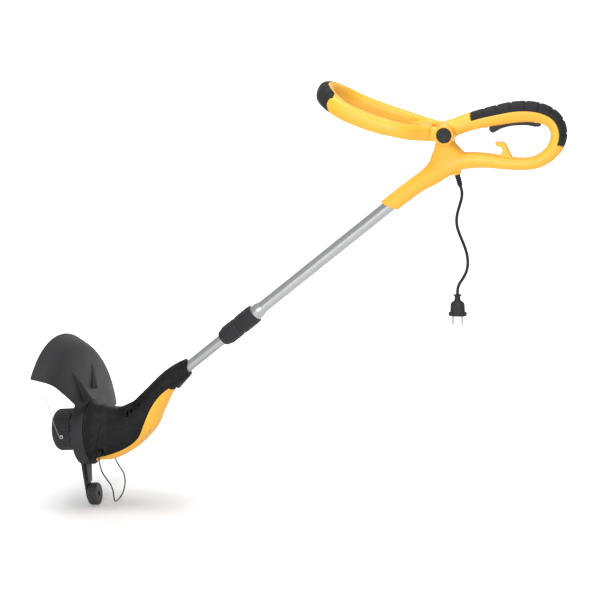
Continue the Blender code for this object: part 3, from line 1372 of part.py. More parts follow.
def spool_parts():
    """The spool's base and cap, bobbin with its line, spring, bump button, eyelet and free line."""
    radius, wall = SPOOL_RADIUS, SPOOL_WALL
    split = SPOOL_START - SPOOL_BASE_WIDTH
    bore = MOTOR_SHAFT_RADIUS + GAP
    base = turned("spool_base", [
        (bore, SPOOL_START), (radius - 0.004, SPOOL_START), (radius, SPOOL_START - 0.003), (radius, split),
        (radius - wall, split), (radius - wall, SPOOL_START - 0.0035), (HUB_TUBE_RADIUS, SPOOL_START - 0.0035),
        (HUB_TUBE_RADIUS, SPOOL_END + 0.024), (bore, SPOOL_END + 0.024)], SPOOL_FRAME, 32)
    windows = []
    middle = SPOOL_START - 0.0082
    for k in range(SPOOL_WINDOWS):
        angle = 2.0 * pi * k / SPOOL_WINDOWS
        turn = HEAD_FRAME @ Matrix.Rotation(angle, 4, "X")
        windows.append(block("window", Vector((middle, 0.0, radius)), Vector((0.0026, 0.0070, 0.005)), turn))
    combine(base, [joined("windows", windows)], "DIFFERENCE")
    finish(tidy(base), BLACK, 0.5)

    hole = BUMP_RADIUS + GAP
    top = split - GAP
    cap = turned("spool_cap", [
        (radius, top), (radius, SPOOL_END + 0.0095),
        (radius - 0.0012, SPOOL_END + 0.0080), (radius - 0.0035, SPOOL_END + 0.0035),
        (radius - 0.0090, SPOOL_END + 0.0010), (hole + 0.006, SPOOL_END), (hole, SPOOL_END),
        (hole, SPOOL_END + 0.0025), (radius - 0.0100, SPOOL_END + 0.0035), (radius - wall - 0.001, SPOOL_END + 0.0075),
        (radius - wall - 0.0008, top)], SPOOL_FRAME, 32)
    combine(cap, [rod("eyelet_bore", eyelet_point(-0.0060), eyelet_point(0.0100), 0.0030 + GAP, 20)], "DIFFERENCE")
    finish(cap, BLACK, 0.5)

    core = HUB_TUBE_RADIUS + GAP
    low, high = SPOOL_START - 0.0045, SPOOL_END + 0.0205
    finish(turned("bobbin", [
        (core, low), (BOBBIN_RADIUS, low), (BOBBIN_RADIUS, low - 0.0015), (BOBBIN_CORE, low - 0.0015),
        (BOBBIN_CORE, high + 0.0015), (BOBBIN_RADIUS, high + 0.0015), (BOBBIN_RADIUS, high), (core, high)],
        SPOOL_FRAME, 20), GREY, 0.5)
    first, last = low - 0.0015 - GAP, high + 0.0015 + GAP
    turns = 3
    wound = [(BOBBIN_CORE + GAP, first)]
    for k in range(turns * 2 + 1):
        wound.append((BOBBIN_CORE + 0.017 + (0.0008 if k % 2 else 0.0), first + (last - first) * k / (turns * 2)))
    wound.append((BOBBIN_CORE + GAP, last))
    finish(turned("line_winding", wound, SPOOL_FRAME, 20), CLEAR, 0.35)

    tip = SPOOL_END - BUMP_STAND
    finish(turned("bump_button", [
        (0.0, tip), (0.009, tip + 0.0003), (BUMP_RADIUS - 0.003, tip + 0.0016), (BUMP_RADIUS, tip + 0.0042),
        (BUMP_RADIUS, SPOOL_END + 0.0028), (BUMP_RADIUS + 0.003, SPOOL_END + 0.0040),
        (BUMP_RADIUS + 0.003, SPOOL_END + 0.0056), (0.0095, SPOOL_END + 0.0056), (0.0095, SPOOL_END + 0.0130),
        (0.0080, SPOOL_END + 0.0130), (0.0080, SPOOL_END + 0.0050), (0.0, SPOOL_END + 0.0050)],
        SPOOL_FRAME, 20), CHARCOAL, 0.55)
    count = 28
    points = []
    low, high = SPOOL_END + 0.0057, SPOOL_END + 0.0232
    for k in range(count + 1):
        angle = 2.0 * pi * 3.5 * k / count
        points.append(head_point(low + (high - low) * k / count, 0.0066 * cos(angle), 0.0066 * sin(angle)))
    finish(coil_tube("spool_spring", points, 0.0006), STEEL, 0.3, 1.0)

    ring = frame_along(eyelet_point(0.0), -SIDE)
    finish(turned("line_eyelet", [
        (0.0014, -0.0040), (0.0030, -0.0040), (0.0030, 0.0003), (0.0042, 0.0003), (0.0042, 0.0016),
        (0.0034, 0.0022), (0.0014, 0.0022)], ring, 14), STEEL, 0.3, 1.0)
    start, bend, end = eyelet_point(-0.0020), eyelet_point(0.0100), LINE_END
    line = [start, start.lerp(bend, 0.5), bend, bend.lerp(end, 0.35) - SIDE * 0.004, bend.lerp(end, 0.7) - SIDE * 0.003, end]
    smooth = even_points([Vector(point) for point in blend_route([tuple(point) for point in line], 6)], 16)
    finish(coil_tube("cutting_line", smooth, LINE_RADIUS, 1), CLEAR, 0.35)


def eyelet_point(out):
    """A point on the eyelet's axis, measured out of the spool's skin toward the near side."""
    return head_point(EYELET_ALONG, -SPOOL_RADIUS - out, EYELET_RISE)


def joined(name, things):
    """Several separate helper solids as one object."""
    bm = bmesh.new()
    for thing in things:
        bm.from_mesh(thing.data)
        bpy.data.objects.remove(thing, do_unlink=True)
    return mesh_object(name, bm)


# Guard

def guard_point(along, radius, angle):
    """A point of the guard from its profile and its angle round the spool axis; the far side leans back."""
    lean = GUARD_LEAN * max(radius - SEAT_RADIUS, 0.0)
    return head_point(along + lean * sin(angle), radius * sin(angle), radius * cos(angle))


def guard():
    """The collar with its plate, the shell with its skirt, two fins and the pad of the blade."""
    run = blend_route(GUARD_PROFILE, 1)
    rings = []
    for k in range(GUARD_STEPS + 1):
        angle = GUARD_FROM + (GUARD_TO - GUARD_FROM) * k / GUARD_STEPS
        inside = []
        for j, (along, radius) in enumerate(run):
            before, after = run[max(j - 1, 0)], run[min(j + 1, len(run) - 1)]
            tangent = Vector((after[0] - before[0], after[1] - before[1])).normalized()
            inside.append((along - tangent.y * GUARD_THICKNESS, radius + tangent.x * GUARD_THICKNESS))
        outline = list(run) + inside[::-1]
        rings.append([guard_point(along, radius, angle) for along, radius in outline])
    shell = loft("guard", rings)
    frame = frame_along(head_point(0.0, 0.0, -SEAT_DROP), SPOOL_AXIS)
    inner = SEAT_RADIUS - GUARD_COLLAR_WALL
    collar = turned("collar", [
        (GUARD_BORE, -GUARD_PLATE), (inner, -GUARD_PLATE), (inner, -GUARD_COLLAR_DEPTH),
        (SEAT_RADIUS - 0.0012, -GUARD_COLLAR_DEPTH), (SEAT_RADIUS, -GUARD_COLLAR_DEPTH + 0.0012),
        (SEAT_RADIUS, -0.0008), (SEAT_RADIUS - 0.0008, 0.0), (GUARD_BORE, 0.0)], frame, 40)
    parts = [collar]
    for angle, foot, tip, height in FINS:
        ends = []
        for radius, half, rise in ((foot, FIN_FOOT_HALF, height), (tip, FIN_TIP_HALF, 0.0008)):
            along = profile_at(radius)
            across = head_point(0.0, cos(angle), -sin(angle)) - HEAD_SEAT
            low, high = guard_point(along - 0.0012, radius, angle), guard_point(along + rise, radius, angle)
            ends.append([low - across * half, high - across * half * 0.6, high + across * half * 0.6,
                         low + across * half])
        parts.append(loft("fin", ends))
    parts.append(block("blade_pad", Vector((0.0, 0.0, -0.0045)), Vector((0.0110, 0.0150, 0.0025)), blade_frame()))
    combine(shell, parts, "UNION")
    bores = [rod("blade_bore", blade_point(-0.0040), blade_point(-0.0120), 0.0014 + GAP, 12)]
    for point in GUARD_SCREWS:
        bores.append(rod("screw_bore", head_point(-0.02, *point), head_point(0.01, *point),
                         GUARD_SCREW_RADIUS + GAP, 12))
    combine(shell, bores, "DIFFERENCE")
    finish(tidy(shell), BLACK, 0.5)
    for k, point in enumerate(GUARD_SCREWS):
        face = -GUARD_PLATE - GAP
        radius = GUARD_SCREW_RADIUS
        finish(turned("guard_screw_%d" % (k + 1), [
            (0.0, face - 0.0022), (radius * 1.7, face - 0.0022), (radius * 2.0, face - 0.0014), (radius * 2.0, face),
            (radius, face), (radius, GUARD_SCREW_DEPTH), (0.0, GUARD_SCREW_DEPTH)],
            frame_along(head_point(0.0, *point), SPOOL_AXIS), 12), STEEL, 0.4, 0.9)
    low = 0.0070 + GAP
    plate_frame = blade_frame()
    blade = block("line_blade", Vector((0.0, 0.0, -low - 0.0006)), Vector((0.0125, 0.0110, 0.0006)), plate_frame)
    combine(blade, [rod("hole", blade_point(-0.005), blade_point(-0.012), 0.0014 + GAP, 12)], "DIFFERENCE")
    finish(blade, STEEL, 0.3, 1.0)
    face = -low - 0.0012 - GAP
    finish(turned("blade_screw", [
        (0.0, face - 0.0016), (0.0024, face - 0.0016), (0.0030, face - 0.0008), (0.0030, face),
        (0.0014, face), (0.0014, -0.0042), (0.0, -0.0042)], plate_frame, 12), STEEL, 0.4, 0.9)


def profile_at(radius):
    """Where the guard's profile stands along the axis at a radius."""
    for (a, first), (b, second) in zip(GUARD_PROFILE, GUARD_PROFILE[1:]):
        if first <= radius <= second:
            return a + (b - a) * (radius - first) / (second - first)
    return GUARD_PROFILE[-1][0]


def blade_frame():
    """The blade's frame on the skirt: local X down the skirt, local Z out of the shell."""
    origin = guard_point(*BLADE_AT, BLADE_ANGLE)
    radial = guard_point(0.0, 1.0, BLADE_ANGLE) - HEAD_SEAT
    down = (-cos(BLADE_SLOPE) * SPOOL_AXIS + sin(BLADE_SLOPE) * radial).normalized()
    out = (sin(BLADE_SLOPE) * SPOOL_AXIS + cos(BLADE_SLOPE) * radial).normalized()
    side = out.cross(down)
    return Matrix.Translation(origin) @ Matrix((down, side, out)).transposed().to_4x4()


def blade_point(out):
    """A point on the blade screw's axis."""
    return blade_frame() @ Vector((0.0, 0.0, out))


# Edging wheel

def wheel_parts():
    """The bracket, its axle and the wheel."""
    centre = head_point(*WHEEL_CENTRE)
    drop = WHEEL_CENTRE.z
    frame = HEAD_FRAME @ Matrix(((0.0, 1.0, 0.0), (-1.0, 0.0, 0.0), (0.0, 0.0, 1.0))).to_4x4()
    outline = [(BRACKET_TOP_HALF, BRACKET_TOP), (BRACKET_TOP_HALF - 0.001, -0.0800)]
    for k in range(13):
        angle = -pi * k / 12
        outline.append((BRACKET_FOOT_RADIUS * cos(angle), drop + BRACKET_FOOT_RADIUS * sin(angle)))
    outline += [(-BRACKET_TOP_HALF + 0.001, -0.0800), (-BRACKET_TOP_HALF, BRACKET_TOP)]
    bracket = plate("wheel_bracket", outline, BRACKET_FACE - BRACKET_THICKNESS, BRACKET_FACE, frame, 0.0)
    low = -SEAT_DROP - SEAT_RADIUS - 0.0004
    web = plate("web", [(BRACKET_FACE - 0.001, low), (WEB_TOP, low), (WEB_FOOT, low - WEB_HEIGHT),
                        (BRACKET_FACE - 0.001, low - WEB_HEIGHT)], -WEB_HALF, WEB_HALF, HEAD_FRAME)
    combine(bracket, [web], "UNION")
    bore = rod("axle_bore", head_point(BRACKET_FACE - 0.0035, 0.0, drop), head_point(0.0, 0.0, drop),
               AXLE_RADIUS + GAP, 20)
    combine(bracket, [bore], "DIFFERENCE")
    finish(bracket, CHARCOAL, 0.5)
    half = WHEEL_WIDTH / 2
    radius = WHEEL_RADIUS
    slot = AXLE_RADIUS + TURN_GAP
    recess = AXLE_HEAD_RADIUS + TURN_GAP
    finish(turned("wheel", [
        (slot, -half), (radius - 0.0022, -half), (radius, -half + 0.0018), (radius, half - 0.0018),
        (radius - 0.0022, half), (recess, half), (recess, half - AXLE_RECESS), (slot, half - AXLE_RECESS)],
        frame_along(centre, SPOOL_AXIS), 28), CHARCOAL, 0.55)
    head = half - AXLE_RECESS + TURN_GAP
    foot = BRACKET_FACE - 0.0032 - WHEEL_CENTRE.x
    finish(turned("wheel_axle", [
        (0.0, foot), (AXLE_RADIUS, foot), (AXLE_RADIUS, head), (AXLE_HEAD_RADIUS, head),
        (AXLE_HEAD_RADIUS, head + 0.0014), (AXLE_HEAD_RADIUS - 0.001, head + 0.0020), (0.0, head + 0.0020)],
        frame_along(centre, SPOOL_AXIS), 20), BLACK, 0.35, 0.6)


# Wire plant guard

def wire_guard():
    """One bent wire whose ends turn into the housing's bosses."""
    leg = [(MOUTH.x + x, -y, MOUTH.z + z) for x, y, z in WIRE_LEG]
    path = leg + [(x, -y, z) for x, y, z in leg[-2::-1]]
    smooth = even_points([Vector(point) for point in blend_route(path, 6)], 36)
    ends = [[], []]
    for side, sign in ((0, -1.0), (1, 1.0)):
        first = smooth[0] if side == 0 else smooth[-1]
        for y in (WIRE_TIP, abs(first.y) - 0.0022, abs(first.y) - 0.0008):
            ends[side].append(Vector((WIRE_PIVOT.x, sign * y, WIRE_PIVOT.z)))
    run = ends[0] + [point for point in smooth if point.z < WIRE_PIVOT.z - 0.0012] + ends[1][::-1]
    finish(coil_tube("wire_guard", run, WIRE_RADIUS, 1), BLACK, 0.35)


# Assembly

def bodies():
    """Each moving body: its empty, its parent, the point its joint turns or slides about and its pieces."""
    return [
        ("trigger_joint", None, TRIGGER_PIVOT, ["trigger"]),
        ("front_handle_joint", None, HUB, ["front_handle", "front_grip", "pivot_cap", "button_spring"]),
        ("lock_joint", "front_handle_joint", HUB, ["lock_button"]),
        ("nut_joint", None, shaft_point(COLLAR_START + COLLAR_LENGTH), ["clamp_nut"]),
        ("telescope_joint", None, shaft_point(COLLAR_START + COLLAR_LENGTH + NUT_LENGTH),
         ["lower_tube", "tube_bushing", "swivel_ring"]),
        ("head_joint", "telescope_joint", shaft_point(HOUSING_MOUTH + TUBE_IN_HOUSING),
         ["motor_housing_near", "motor_housing_far", "lower_cover", "motor_can", "motor_end_bell",
          "bearing_front", "bearing_rear", "brush_holder_near", "brush_holder_far", "guard", "guard_screw_1",
          "guard_screw_2", "line_blade", "blade_screw", "wheel_bracket", "wheel_axle"]),
        ("release_joint", "head_joint", RELEASE_START, ["release_slide"]),
        ("spool_joint", "head_joint", HEAD_SEAT,
         ["armature", "spool_base", "spool_cap", "bobbin", "line_winding", "spool_spring", "line_eyelet",
          "cutting_line"]),
        ("bump_joint", "spool_joint", head_point(SPOOL_END, 0.0, 0.0), ["bump_button"]),
        ("wheel_joint", "head_joint", head_point(*WHEEL_CENTRE), ["wheel"]),
        ("wire_joint", "head_joint", WIRE_PIVOT, ["wire_guard"]),
    ]


def assemble():
    """Hang every moving piece from an empty that stands on its joint."""
    origins = {}
    for name, parent, origin, pieces in bodies():
        empty = bpy.data.objects.new(name, None)
        empty.empty_display_size = 0.02
        bpy.context.scene.collection.objects.link(empty)
        origins[name] = origin
        empty.location = origin
        if parent:
            empty.parent = bpy.data.objects[parent]
            empty.location = origin - origins[parent]
        for piece in pieces:
            thing = bpy.data.objects[piece]
            thing.data.transform(Matrix.Translation(-origin))
            thing.parent = empty


def main():
    """Build every sub-part and hang the assembly together."""
    clear_scene()
    for shell in handle_shells():
        finish(tidy(shell), YELLOW, 0.42)
    finish(grip_overmould(), CHARCOAL, 0.7)
    trigger()
    switch_parts()
    handle_screws()
    mains_cord()
    front_handle()
    pivot_parts()
    shaft_parts()
    swivel_ring()
    motor_housing()
    finish(release_solid("release_slide"), CHARCOAL, 0.5)
    motor_parts()
    spool_parts()
    guard()
    wheel_parts()
    wire_guard()
    assemble()


main()
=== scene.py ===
# %% [markdown]
# # An electric string trimmer, dressed for a studio picture
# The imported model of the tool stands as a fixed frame: every moulding, tube and screw is already in its place.
# This lesson puts smooth skins, small repeated forms and finishes on it, one sub-assembly at a time.
# All lengths are metres, +Z is up, +X runs from the cutting head to the handle, and -Y looks at the camera.

# %% Load the frame
import json
from math import cos, pi, radians, sin
import bmesh
import bpy
from mathutils import Matrix, Vector


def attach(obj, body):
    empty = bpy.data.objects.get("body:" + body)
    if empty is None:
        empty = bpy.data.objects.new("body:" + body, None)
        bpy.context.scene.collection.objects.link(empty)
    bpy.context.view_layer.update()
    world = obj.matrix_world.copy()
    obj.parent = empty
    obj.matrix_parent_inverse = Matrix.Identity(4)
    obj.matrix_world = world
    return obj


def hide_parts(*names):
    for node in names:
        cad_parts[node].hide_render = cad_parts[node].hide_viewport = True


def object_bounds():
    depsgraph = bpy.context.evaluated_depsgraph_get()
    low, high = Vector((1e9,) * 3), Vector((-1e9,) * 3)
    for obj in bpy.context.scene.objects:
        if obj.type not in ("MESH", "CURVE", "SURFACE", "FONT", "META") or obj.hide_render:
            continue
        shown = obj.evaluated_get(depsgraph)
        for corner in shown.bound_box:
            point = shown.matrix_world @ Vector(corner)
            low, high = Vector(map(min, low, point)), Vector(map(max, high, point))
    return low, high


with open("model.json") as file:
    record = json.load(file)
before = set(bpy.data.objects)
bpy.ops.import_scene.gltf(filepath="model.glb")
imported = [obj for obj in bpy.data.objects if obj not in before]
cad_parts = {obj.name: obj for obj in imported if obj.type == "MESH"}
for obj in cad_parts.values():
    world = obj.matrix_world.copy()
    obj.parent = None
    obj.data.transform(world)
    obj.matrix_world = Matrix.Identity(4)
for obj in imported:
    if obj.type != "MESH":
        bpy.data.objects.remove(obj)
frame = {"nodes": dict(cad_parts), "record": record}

CAD_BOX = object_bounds()
SIDE = Vector((0.0, 1.0, 0.0))

# %% [markdown]
# ## The camera
# The picture was taken from a little to the right of the side view and from a little above it, with a long lens.
# The camera is rolled by one and a half degrees, because the tool stands slightly turned in the picture.

# %% Place the camera
TARGET = Vector((-0.4162, 0.0, -0.3905))
VIEW_TURN, VIEW_RISE, VIEW_ROLL, VIEW_DISTANCE = radians(14.0), radians(14.0), radians(1.5), 4.5

toward = Vector((sin(VIEW_TURN) * cos(VIEW_RISE), -cos(VIEW_TURN) * cos(VIEW_RISE), sin(VIEW_RISE)))
right = Vector((cos(VIEW_TURN), sin(VIEW_TURN), 0.0))
upward = toward.cross(right)
rolled_right = right * cos(VIEW_ROLL) - upward * sin(VIEW_ROLL)
rolled_up = right * sin(VIEW_ROLL) + upward * cos(VIEW_ROLL)
camera = bpy.data.objects.new("camera", bpy.data.cameras.new("camera"))
camera.data.lens = 130.0
camera.data.sensor_width = 36.0
camera.data.clip_end = 30.0
turn = Matrix((rolled_right, rolled_up, toward)).transposed().to_4x4()
camera.matrix_world = Matrix.Translation(TARGET + toward * VIEW_DISTANCE) @ turn
bpy.context.scene.collection.objects.link(camera)
bpy.context.scene.camera = camera
print("camera at", tuple(round(v, 3) for v in camera.location))

# %% [markdown]
# ## Small tools for making meshes
# Most mouldings here are lofts: a rounded section is carried along a smooth run of stations.
# The run is a Catmull-Rom spline, which passes through every station, so the skin stays on the frame's solids.

# %% Runs, sections and lofts
def smooth_run(points, steps):
    """A Catmull-Rom run through stations of any number of values."""
    run = []
    for k in range(len(points) - 1):
        four = (points[max(k - 1, 0)], points[k], points[k + 1], points[min(k + 2, len(points) - 1)])
        for step in range(steps):
            u = step / steps
            run.append(tuple(
                0.5 * (2 * b + (c - a) * u + (2 * a - 5 * b + 4 * c - d) * u * u + (3 * b - a - 3 * c + d) * u ** 3)
                for a, b, c, d in zip(*four)))
    run.append(tuple(points[-1]))
    return run


def rounded_section(centre, up, side, half_height, half_width, sides, power):
    """A superellipse: a circle at power 2, nearer a rounded box as the power grows."""
    ring = []
    for k in range(sides):
        angle = 2.0 * pi * (k + 0.5) / sides
        c, s = cos(angle), sin(angle)
        rise = half_height * (1 if c >= 0 else -1) * abs(c) ** (2.0 / power)
        reach = half_width * (1 if s >= 0 else -1) * abs(s) ** (2.0 / power)
        ring.append(centre + up * rise + side * reach)
    return ring


def object_from(bm, name):
    """Link a bmesh as an object, with its faces pointing out."""
    bmesh.ops.recalc_face_normals(bm, faces=bm.faces[:])
    mesh = bpy.data.meshes.new(name)
    bm.to_mesh(mesh)
    bm.free()
    thing = bpy.data.objects.new(name, mesh)
    bpy.context.scene.collection.objects.link(thing)
    return thing


def loft(name, rings, closed=False):
    """Bridge rings of equal length; the ends are capped unless the run closes."""
    bm = bmesh.new()
    verts = [[bm.verts.new(point) for point in ring] for ring in rings]
    count = len(verts[0])
    pairs = list(zip(verts, verts[1:])) + ([(verts[-1], verts[0])] if closed else [])
    for first, second in pairs:
        for k in range(count):
            j = (k + 1) % count
            bm.faces.new((first[k], first[j], second[j], second[k]))
    if not closed:
        bm.faces.new(verts[0][::-1])
        bm.faces.new(verts[-1])
    return object_from(bm, name)


def frame_along(origin, direction):
    """A frame whose local Z follows a direction."""
    axis = direction.normalized()
    side = SIDE if abs(axis.dot(SIDE)) <= 0.9 else Vector((1.0, 0.0, 0.0))
    across = side.cross(axis).normalized()
    side = axis.cross(across)
    return Matrix.Translation(origin) @ Matrix((across, side, axis)).transposed().to_4x4()


def turned(name, profile, place, steps=96, radius_of=None):
    """A solid of revolution about local Z from a closed run of (radius, height); radius 0 is a pole."""
    bm = bmesh.new()
    rings = []
    for radius, height in profile:
        count = 1 if radius < 1e-7 else steps
        rings.append([])
        for k in range(count):
            angle = 2.0 * pi * k / steps
            reach = radius_of(radius, height, angle) if radius_of and count > 1 else radius
            rings[-1].append(bm.verts.new((reach * cos(angle), reach * sin(angle), height)))
    pairs = list(zip(rings, rings[1:]))
    if not (len(rings[0]) == 1 and len(rings[-1]) == 1):
        pairs.append((rings[-1], rings[0]))
    for first, second in pairs:
        for k in range(steps):
            j = (k + 1) % steps
            corners = [first[k % len(first)], first[j % len(first)], second[j % len(second)], second[k % len(second)]]
            corners = [corner for i, corner in enumerate(corners) if corner not in corners[:i]]
            if len(corners) > 2:
                bm.faces.new(corners)
    thing = object_from(bm, name)
    thing.data.transform(place)
    return thing


def slab(name, outline, low, high, place=None):
    """An outline of (x, z) points extruded along Y."""
    bm = bmesh.new()
    near = [bm.verts.new((x, low, z)) for x, z in outline]
    far = [bm.verts.new((x, high, z)) for x, z in outline]
    for k in range(len(outline)):
        j = (k + 1) % len(outline)
        bm.faces.new((near[k], near[j], far[j], far[k]))
    bm.faces.new(near[::-1])
    bm.faces.new(far)
    thing = object_from(bm, name)
    if place is not None:
        thing.data.transform(place)
    return thing


def bar(name, start, end, radius, steps=48):
    """A round bar between two points."""
    length = (end - start).length
    return turned(name, [(0.0, 0.0), (radius, 0.0), (radius, length), (0.0, length)],
                  frame_along(start, end - start), steps)


def cuboid(name, centre, half, place=None):
    """A box given by its centre and half sizes, used as a cutter."""
    bm = bmesh.new()
    bmesh.ops.create_cube(bm, size=2.0)
    bmesh.ops.scale(bm, vec=half, verts=bm.verts[:])
    bmesh.ops.translate(bm, vec=centre, verts=bm.verts[:])
    thing = object_from(bm, name)
    if place is not None:
        thing.data.transform(place)
    return thing


# %% [markdown]
# A moulded part has no razor edge: its cuts and joints are rounded in the tool.
# A voxel remesh gives one even skin over everything that was joined and cut, and a light smoothing rounds each edge.

# %% Booleans, remeshing and finishing
def apply_modifiers(thing):
    """Replace the mesh by its evaluated one."""
    graph = bpy.context.evaluated_depsgraph_get()
    mesh = bpy.data.meshes.new_from_object(thing.evaluated_get(graph))
    thing.modifiers.clear()
    thing.data = mesh
    return thing


def cut(thing, tools, operation="DIFFERENCE"):
    """Boolean a piece with tools that are used up."""
    for tool in tools:
        modifier = thing.modifiers.new("cut", "BOOLEAN")
        modifier.operation = operation
        modifier.solver = "EXACT"
        modifier.object = tool
        bpy.context.view_layer.update()
        apply_modifiers(thing)
        bpy.data.objects.remove(tool, do_unlink=True)
    return thing


def twin(thing, name):
    """A separate copy with its own mesh."""
    other = bpy.data.objects.new(name, thing.data.copy())
    bpy.context.scene.collection.objects.link(other)
    return other


def soften(thing, voxel, rounds, factor=0.5):
    """One even skin with rounded edges."""
    remesh = thing.modifiers.new("skin", "REMESH")
    remesh.mode = "VOXEL"
    remesh.voxel_size = voxel
    if rounds:
        smooth = thing.modifiers.new("round", "SMOOTH")
        smooth.factor = factor
        smooth.iterations = rounds
    return apply_modifiers(thing)


def place_piece(thing, name, finish, body, nodes=(), angle=35.0):
    """Name a finished piece, give it its material and hang it on its body in place of its CAD nodes."""
    thing.name = name
    thing.data.name = name
    thing.data.materials.clear()
    thing.data.materials.append(finish)
    thing.data.shade_smooth()
    if angle < 180.0:
        thing.data.set_sharp_from_angle(angle=radians(angle))
    if nodes:
        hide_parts(*nodes)
    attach(thing, body)
    print("%-22s %7d faces on %s" % (name, len(thing.data.polygons), body))
    return thing


# %% [markdown]
# ## The mains cord
# The cord's facts come first: it leaves the handle through a tapered strain relief, hangs down in two slack waves
# that it keeps from being wound up, and ends in its plug. The picture shows all of it, so that is its length.

# %% The cord's route
CORD_DIAMETER = 0.0062
CORD_ROUTE = [
    (-0.0895, -0.1385), (-0.0871, -0.1475), (-0.0868, -0.1570), (-0.0890, -0.1680), (-0.0925, -0.1800),
    (-0.0960, -0.1925), (-0.0980, -0.2060), (-0.0970, -0.2200), (-0.0925, -0.2350), (-0.0865, -0.2500),
    (-0.0805, -0.2660), (-0.0768, -0.2820), (-0.0762, -0.2980), (-0.0795, -0.3130), (-0.0860, -0.3260),
    (-0.0930, -0.3370), (-0.0968, -0.3480), (-0.0975, -0.3600),
]
cord_points = [Vector((x, 0.0, z)) for x, z in smooth_run(CORD_ROUTE, 8)]

# %% [markdown]
# ## Finishes
# Each finish reads Object coordinates, so its grain has a real size in metres on every piece.
# Two noises do most of the work: a broad one moves the colour and the roughness a little, as moulding does,
# and a fine one is the grain that catches the light.

# %% Helpers for node trees
def new_finish(name):
    """A material with its tree and its shader."""
    material = bpy.data.materials.new(name)
    material.use_nodes = True
    return material, material.node_tree, material.node_tree.nodes["Principled BSDF"]


def add(tree, kind, inputs=None, **settings):
    """A node with its settings made and its inputs set or linked."""
    node = tree.nodes.new(kind)
    for key, value in settings.items():
        setattr(node, key, value)
    for key, value in (inputs or {}).items():
        if isinstance(value, bpy.types.NodeSocket):
            tree.links.new(value, node.inputs[key])
        else:
            node.inputs[key].default_value = value
    return node


def spread(tree, value, low, high):
    """Map a noise's useful middle to a range."""
    node = add(tree, "ShaderNodeMapRange", {"Value": value, "From Min": 0.3, "From Max": 0.7,
                                            "To Min": low, "To Max": high})
    return node.outputs["Result"]


def moulded(name, colour, other, roughness, grain, depth, specular=0.5, coat=0.0, metallic=0.0):
    """Moulded plastic, rubber or plated metal: two close colours, uneven gloss and a fine grain."""
    material, tree, shader = new_finish(name)
    where = add(tree, "ShaderNodeTexCoord").outputs["Object"]
    broad = add(tree, "ShaderNodeTexNoise", {"Vector": where, "Scale": 26.0, "Detail": 3.0, "Roughness": 0.55})
    fine = add(tree, "ShaderNodeTexNoise", {"Vector": where, "Scale": grain, "Detail": 2.0, "Roughness": 0.6})
    mix = add(tree, "ShaderNodeMix", {"Factor": spread(tree, broad.outputs["Fac"], 0.0, 1.0)},
              data_type="RGBA")
    mix.inputs[6].default_value = (*colour, 1.0)
    mix.inputs[7].default_value = (*other, 1.0)
    tree.links.new(mix.outputs[2], shader.inputs["Base Color"])
    gloss = add(tree, "ShaderNodeMath", {0: spread(tree, broad.outputs["Fac"], -0.035, 0.035),
                                         1: spread(tree, fine.outputs["Fac"], roughness - 0.03, roughness + 0.03)},
                operation="ADD")
    tree.links.new(gloss.outputs[0], shader.inputs["Roughness"])
    bump = add(tree, "ShaderNodeBump", {"Height": fine.outputs["Fac"], "Strength": 0.6, "Distance": depth})
    tree.links.new(bump.outputs["Normal"], shader.inputs["Normal"])
    shader.inputs["Specular IOR Level"].default_value = specular
    shader.inputs["Coat Weight"].default_value = coat
    shader.inputs["Metallic"].default_value = metallic
    return material


# %% Plastics and rubber
YELLOW = moulded("yellow_moulding", (0.96, 0.490, 0.037), (0.93, 0.465, 0.033), 0.40, 900.0, 0.00004)
BLACK = moulded("black_moulding", (0.014, 0.014, 0.016), (0.019, 0.019, 0.021), 0.52, 1300.0, 0.00012, 0.25)
GREY = moulded("charcoal_moulding", (0.024, 0.024, 0.027), (0.030, 0.030, 0.033), 0.50, 1300.0, 0.00010, 0.3)
PALE_GREY = moulded("pale_charcoal", (0.078, 0.078, 0.084), (0.086, 0.086, 0.092), 0.50, 1300.0, 0.00008, 0.3)
NATURAL = moulded("grey_nylon", (0.115, 0.115, 0.120), (0.135, 0.135, 0.140), 0.55, 700.0, 0.00006)
RUBBER = moulded("soft_rubber", (0.011, 0.011, 0.013), (0.015, 0.015, 0.017), 0.68, 1700.0, 0.00010, 0.25)
print("plastics:", YELLOW.name, BLACK.name, GREY.name, NATURAL.name, RUBBER.name)

# %% [markdown]
# The tubes are satin anodised aluminium. Drawing and brushing leave fine lines along the tube, so the noise is
# stretched along the shaft's direction with a Mapping node.

# %% Metals
def drawn_metal(name, colour, roughness, stretch, tilt, depth):
    """Metal with fine lines along one direction."""
    material, tree, shader = new_finish(name)
    where = add(tree, "ShaderNodeTexCoord").outputs["Object"]
    lines = add(tree, "ShaderNodeMapping", {"Vector": where, "Rotation": (0.0, tilt, 0.0), "Scale": stretch})
    fine = add(tree, "ShaderNodeTexNoise", {"Vector": lines.outputs["Vector"], "Scale": 1.0, "Detail": 3.0})
    broad = add(tree, "ShaderNodeTexNoise", {"Vector": where, "Scale": 18.0, "Detail": 2.0})
    ramp = add(tree, "ShaderNodeMix", {"Factor": spread(tree, fine.outputs["Fac"], 0.0, 1.0)}, data_type="RGBA")
    ramp.inputs[6].default_value = (*colour, 1.0)
    ramp.inputs[7].default_value = (*[c * 0.90 for c in colour], 1.0)
    tree.links.new(ramp.outputs[2], shader.inputs["Base Color"])
    gloss = add(tree, "ShaderNodeMath", {0: spread(tree, fine.outputs["Fac"], roughness - 0.04, roughness + 0.04),
                                         1: spread(tree, broad.outputs["Fac"], -0.03, 0.03)}, operation="ADD")
    tree.links.new(gloss.outputs[0], shader.inputs["Roughness"])
    bump = add(tree, "ShaderNodeBump", {"Height": fine.outputs["Fac"], "Strength": 0.5, "Distance": depth})
    tree.links.new(bump.outputs["Normal"], shader.inputs["Normal"])
    shader.inputs["Metallic"].default_value = 1.0
    return material


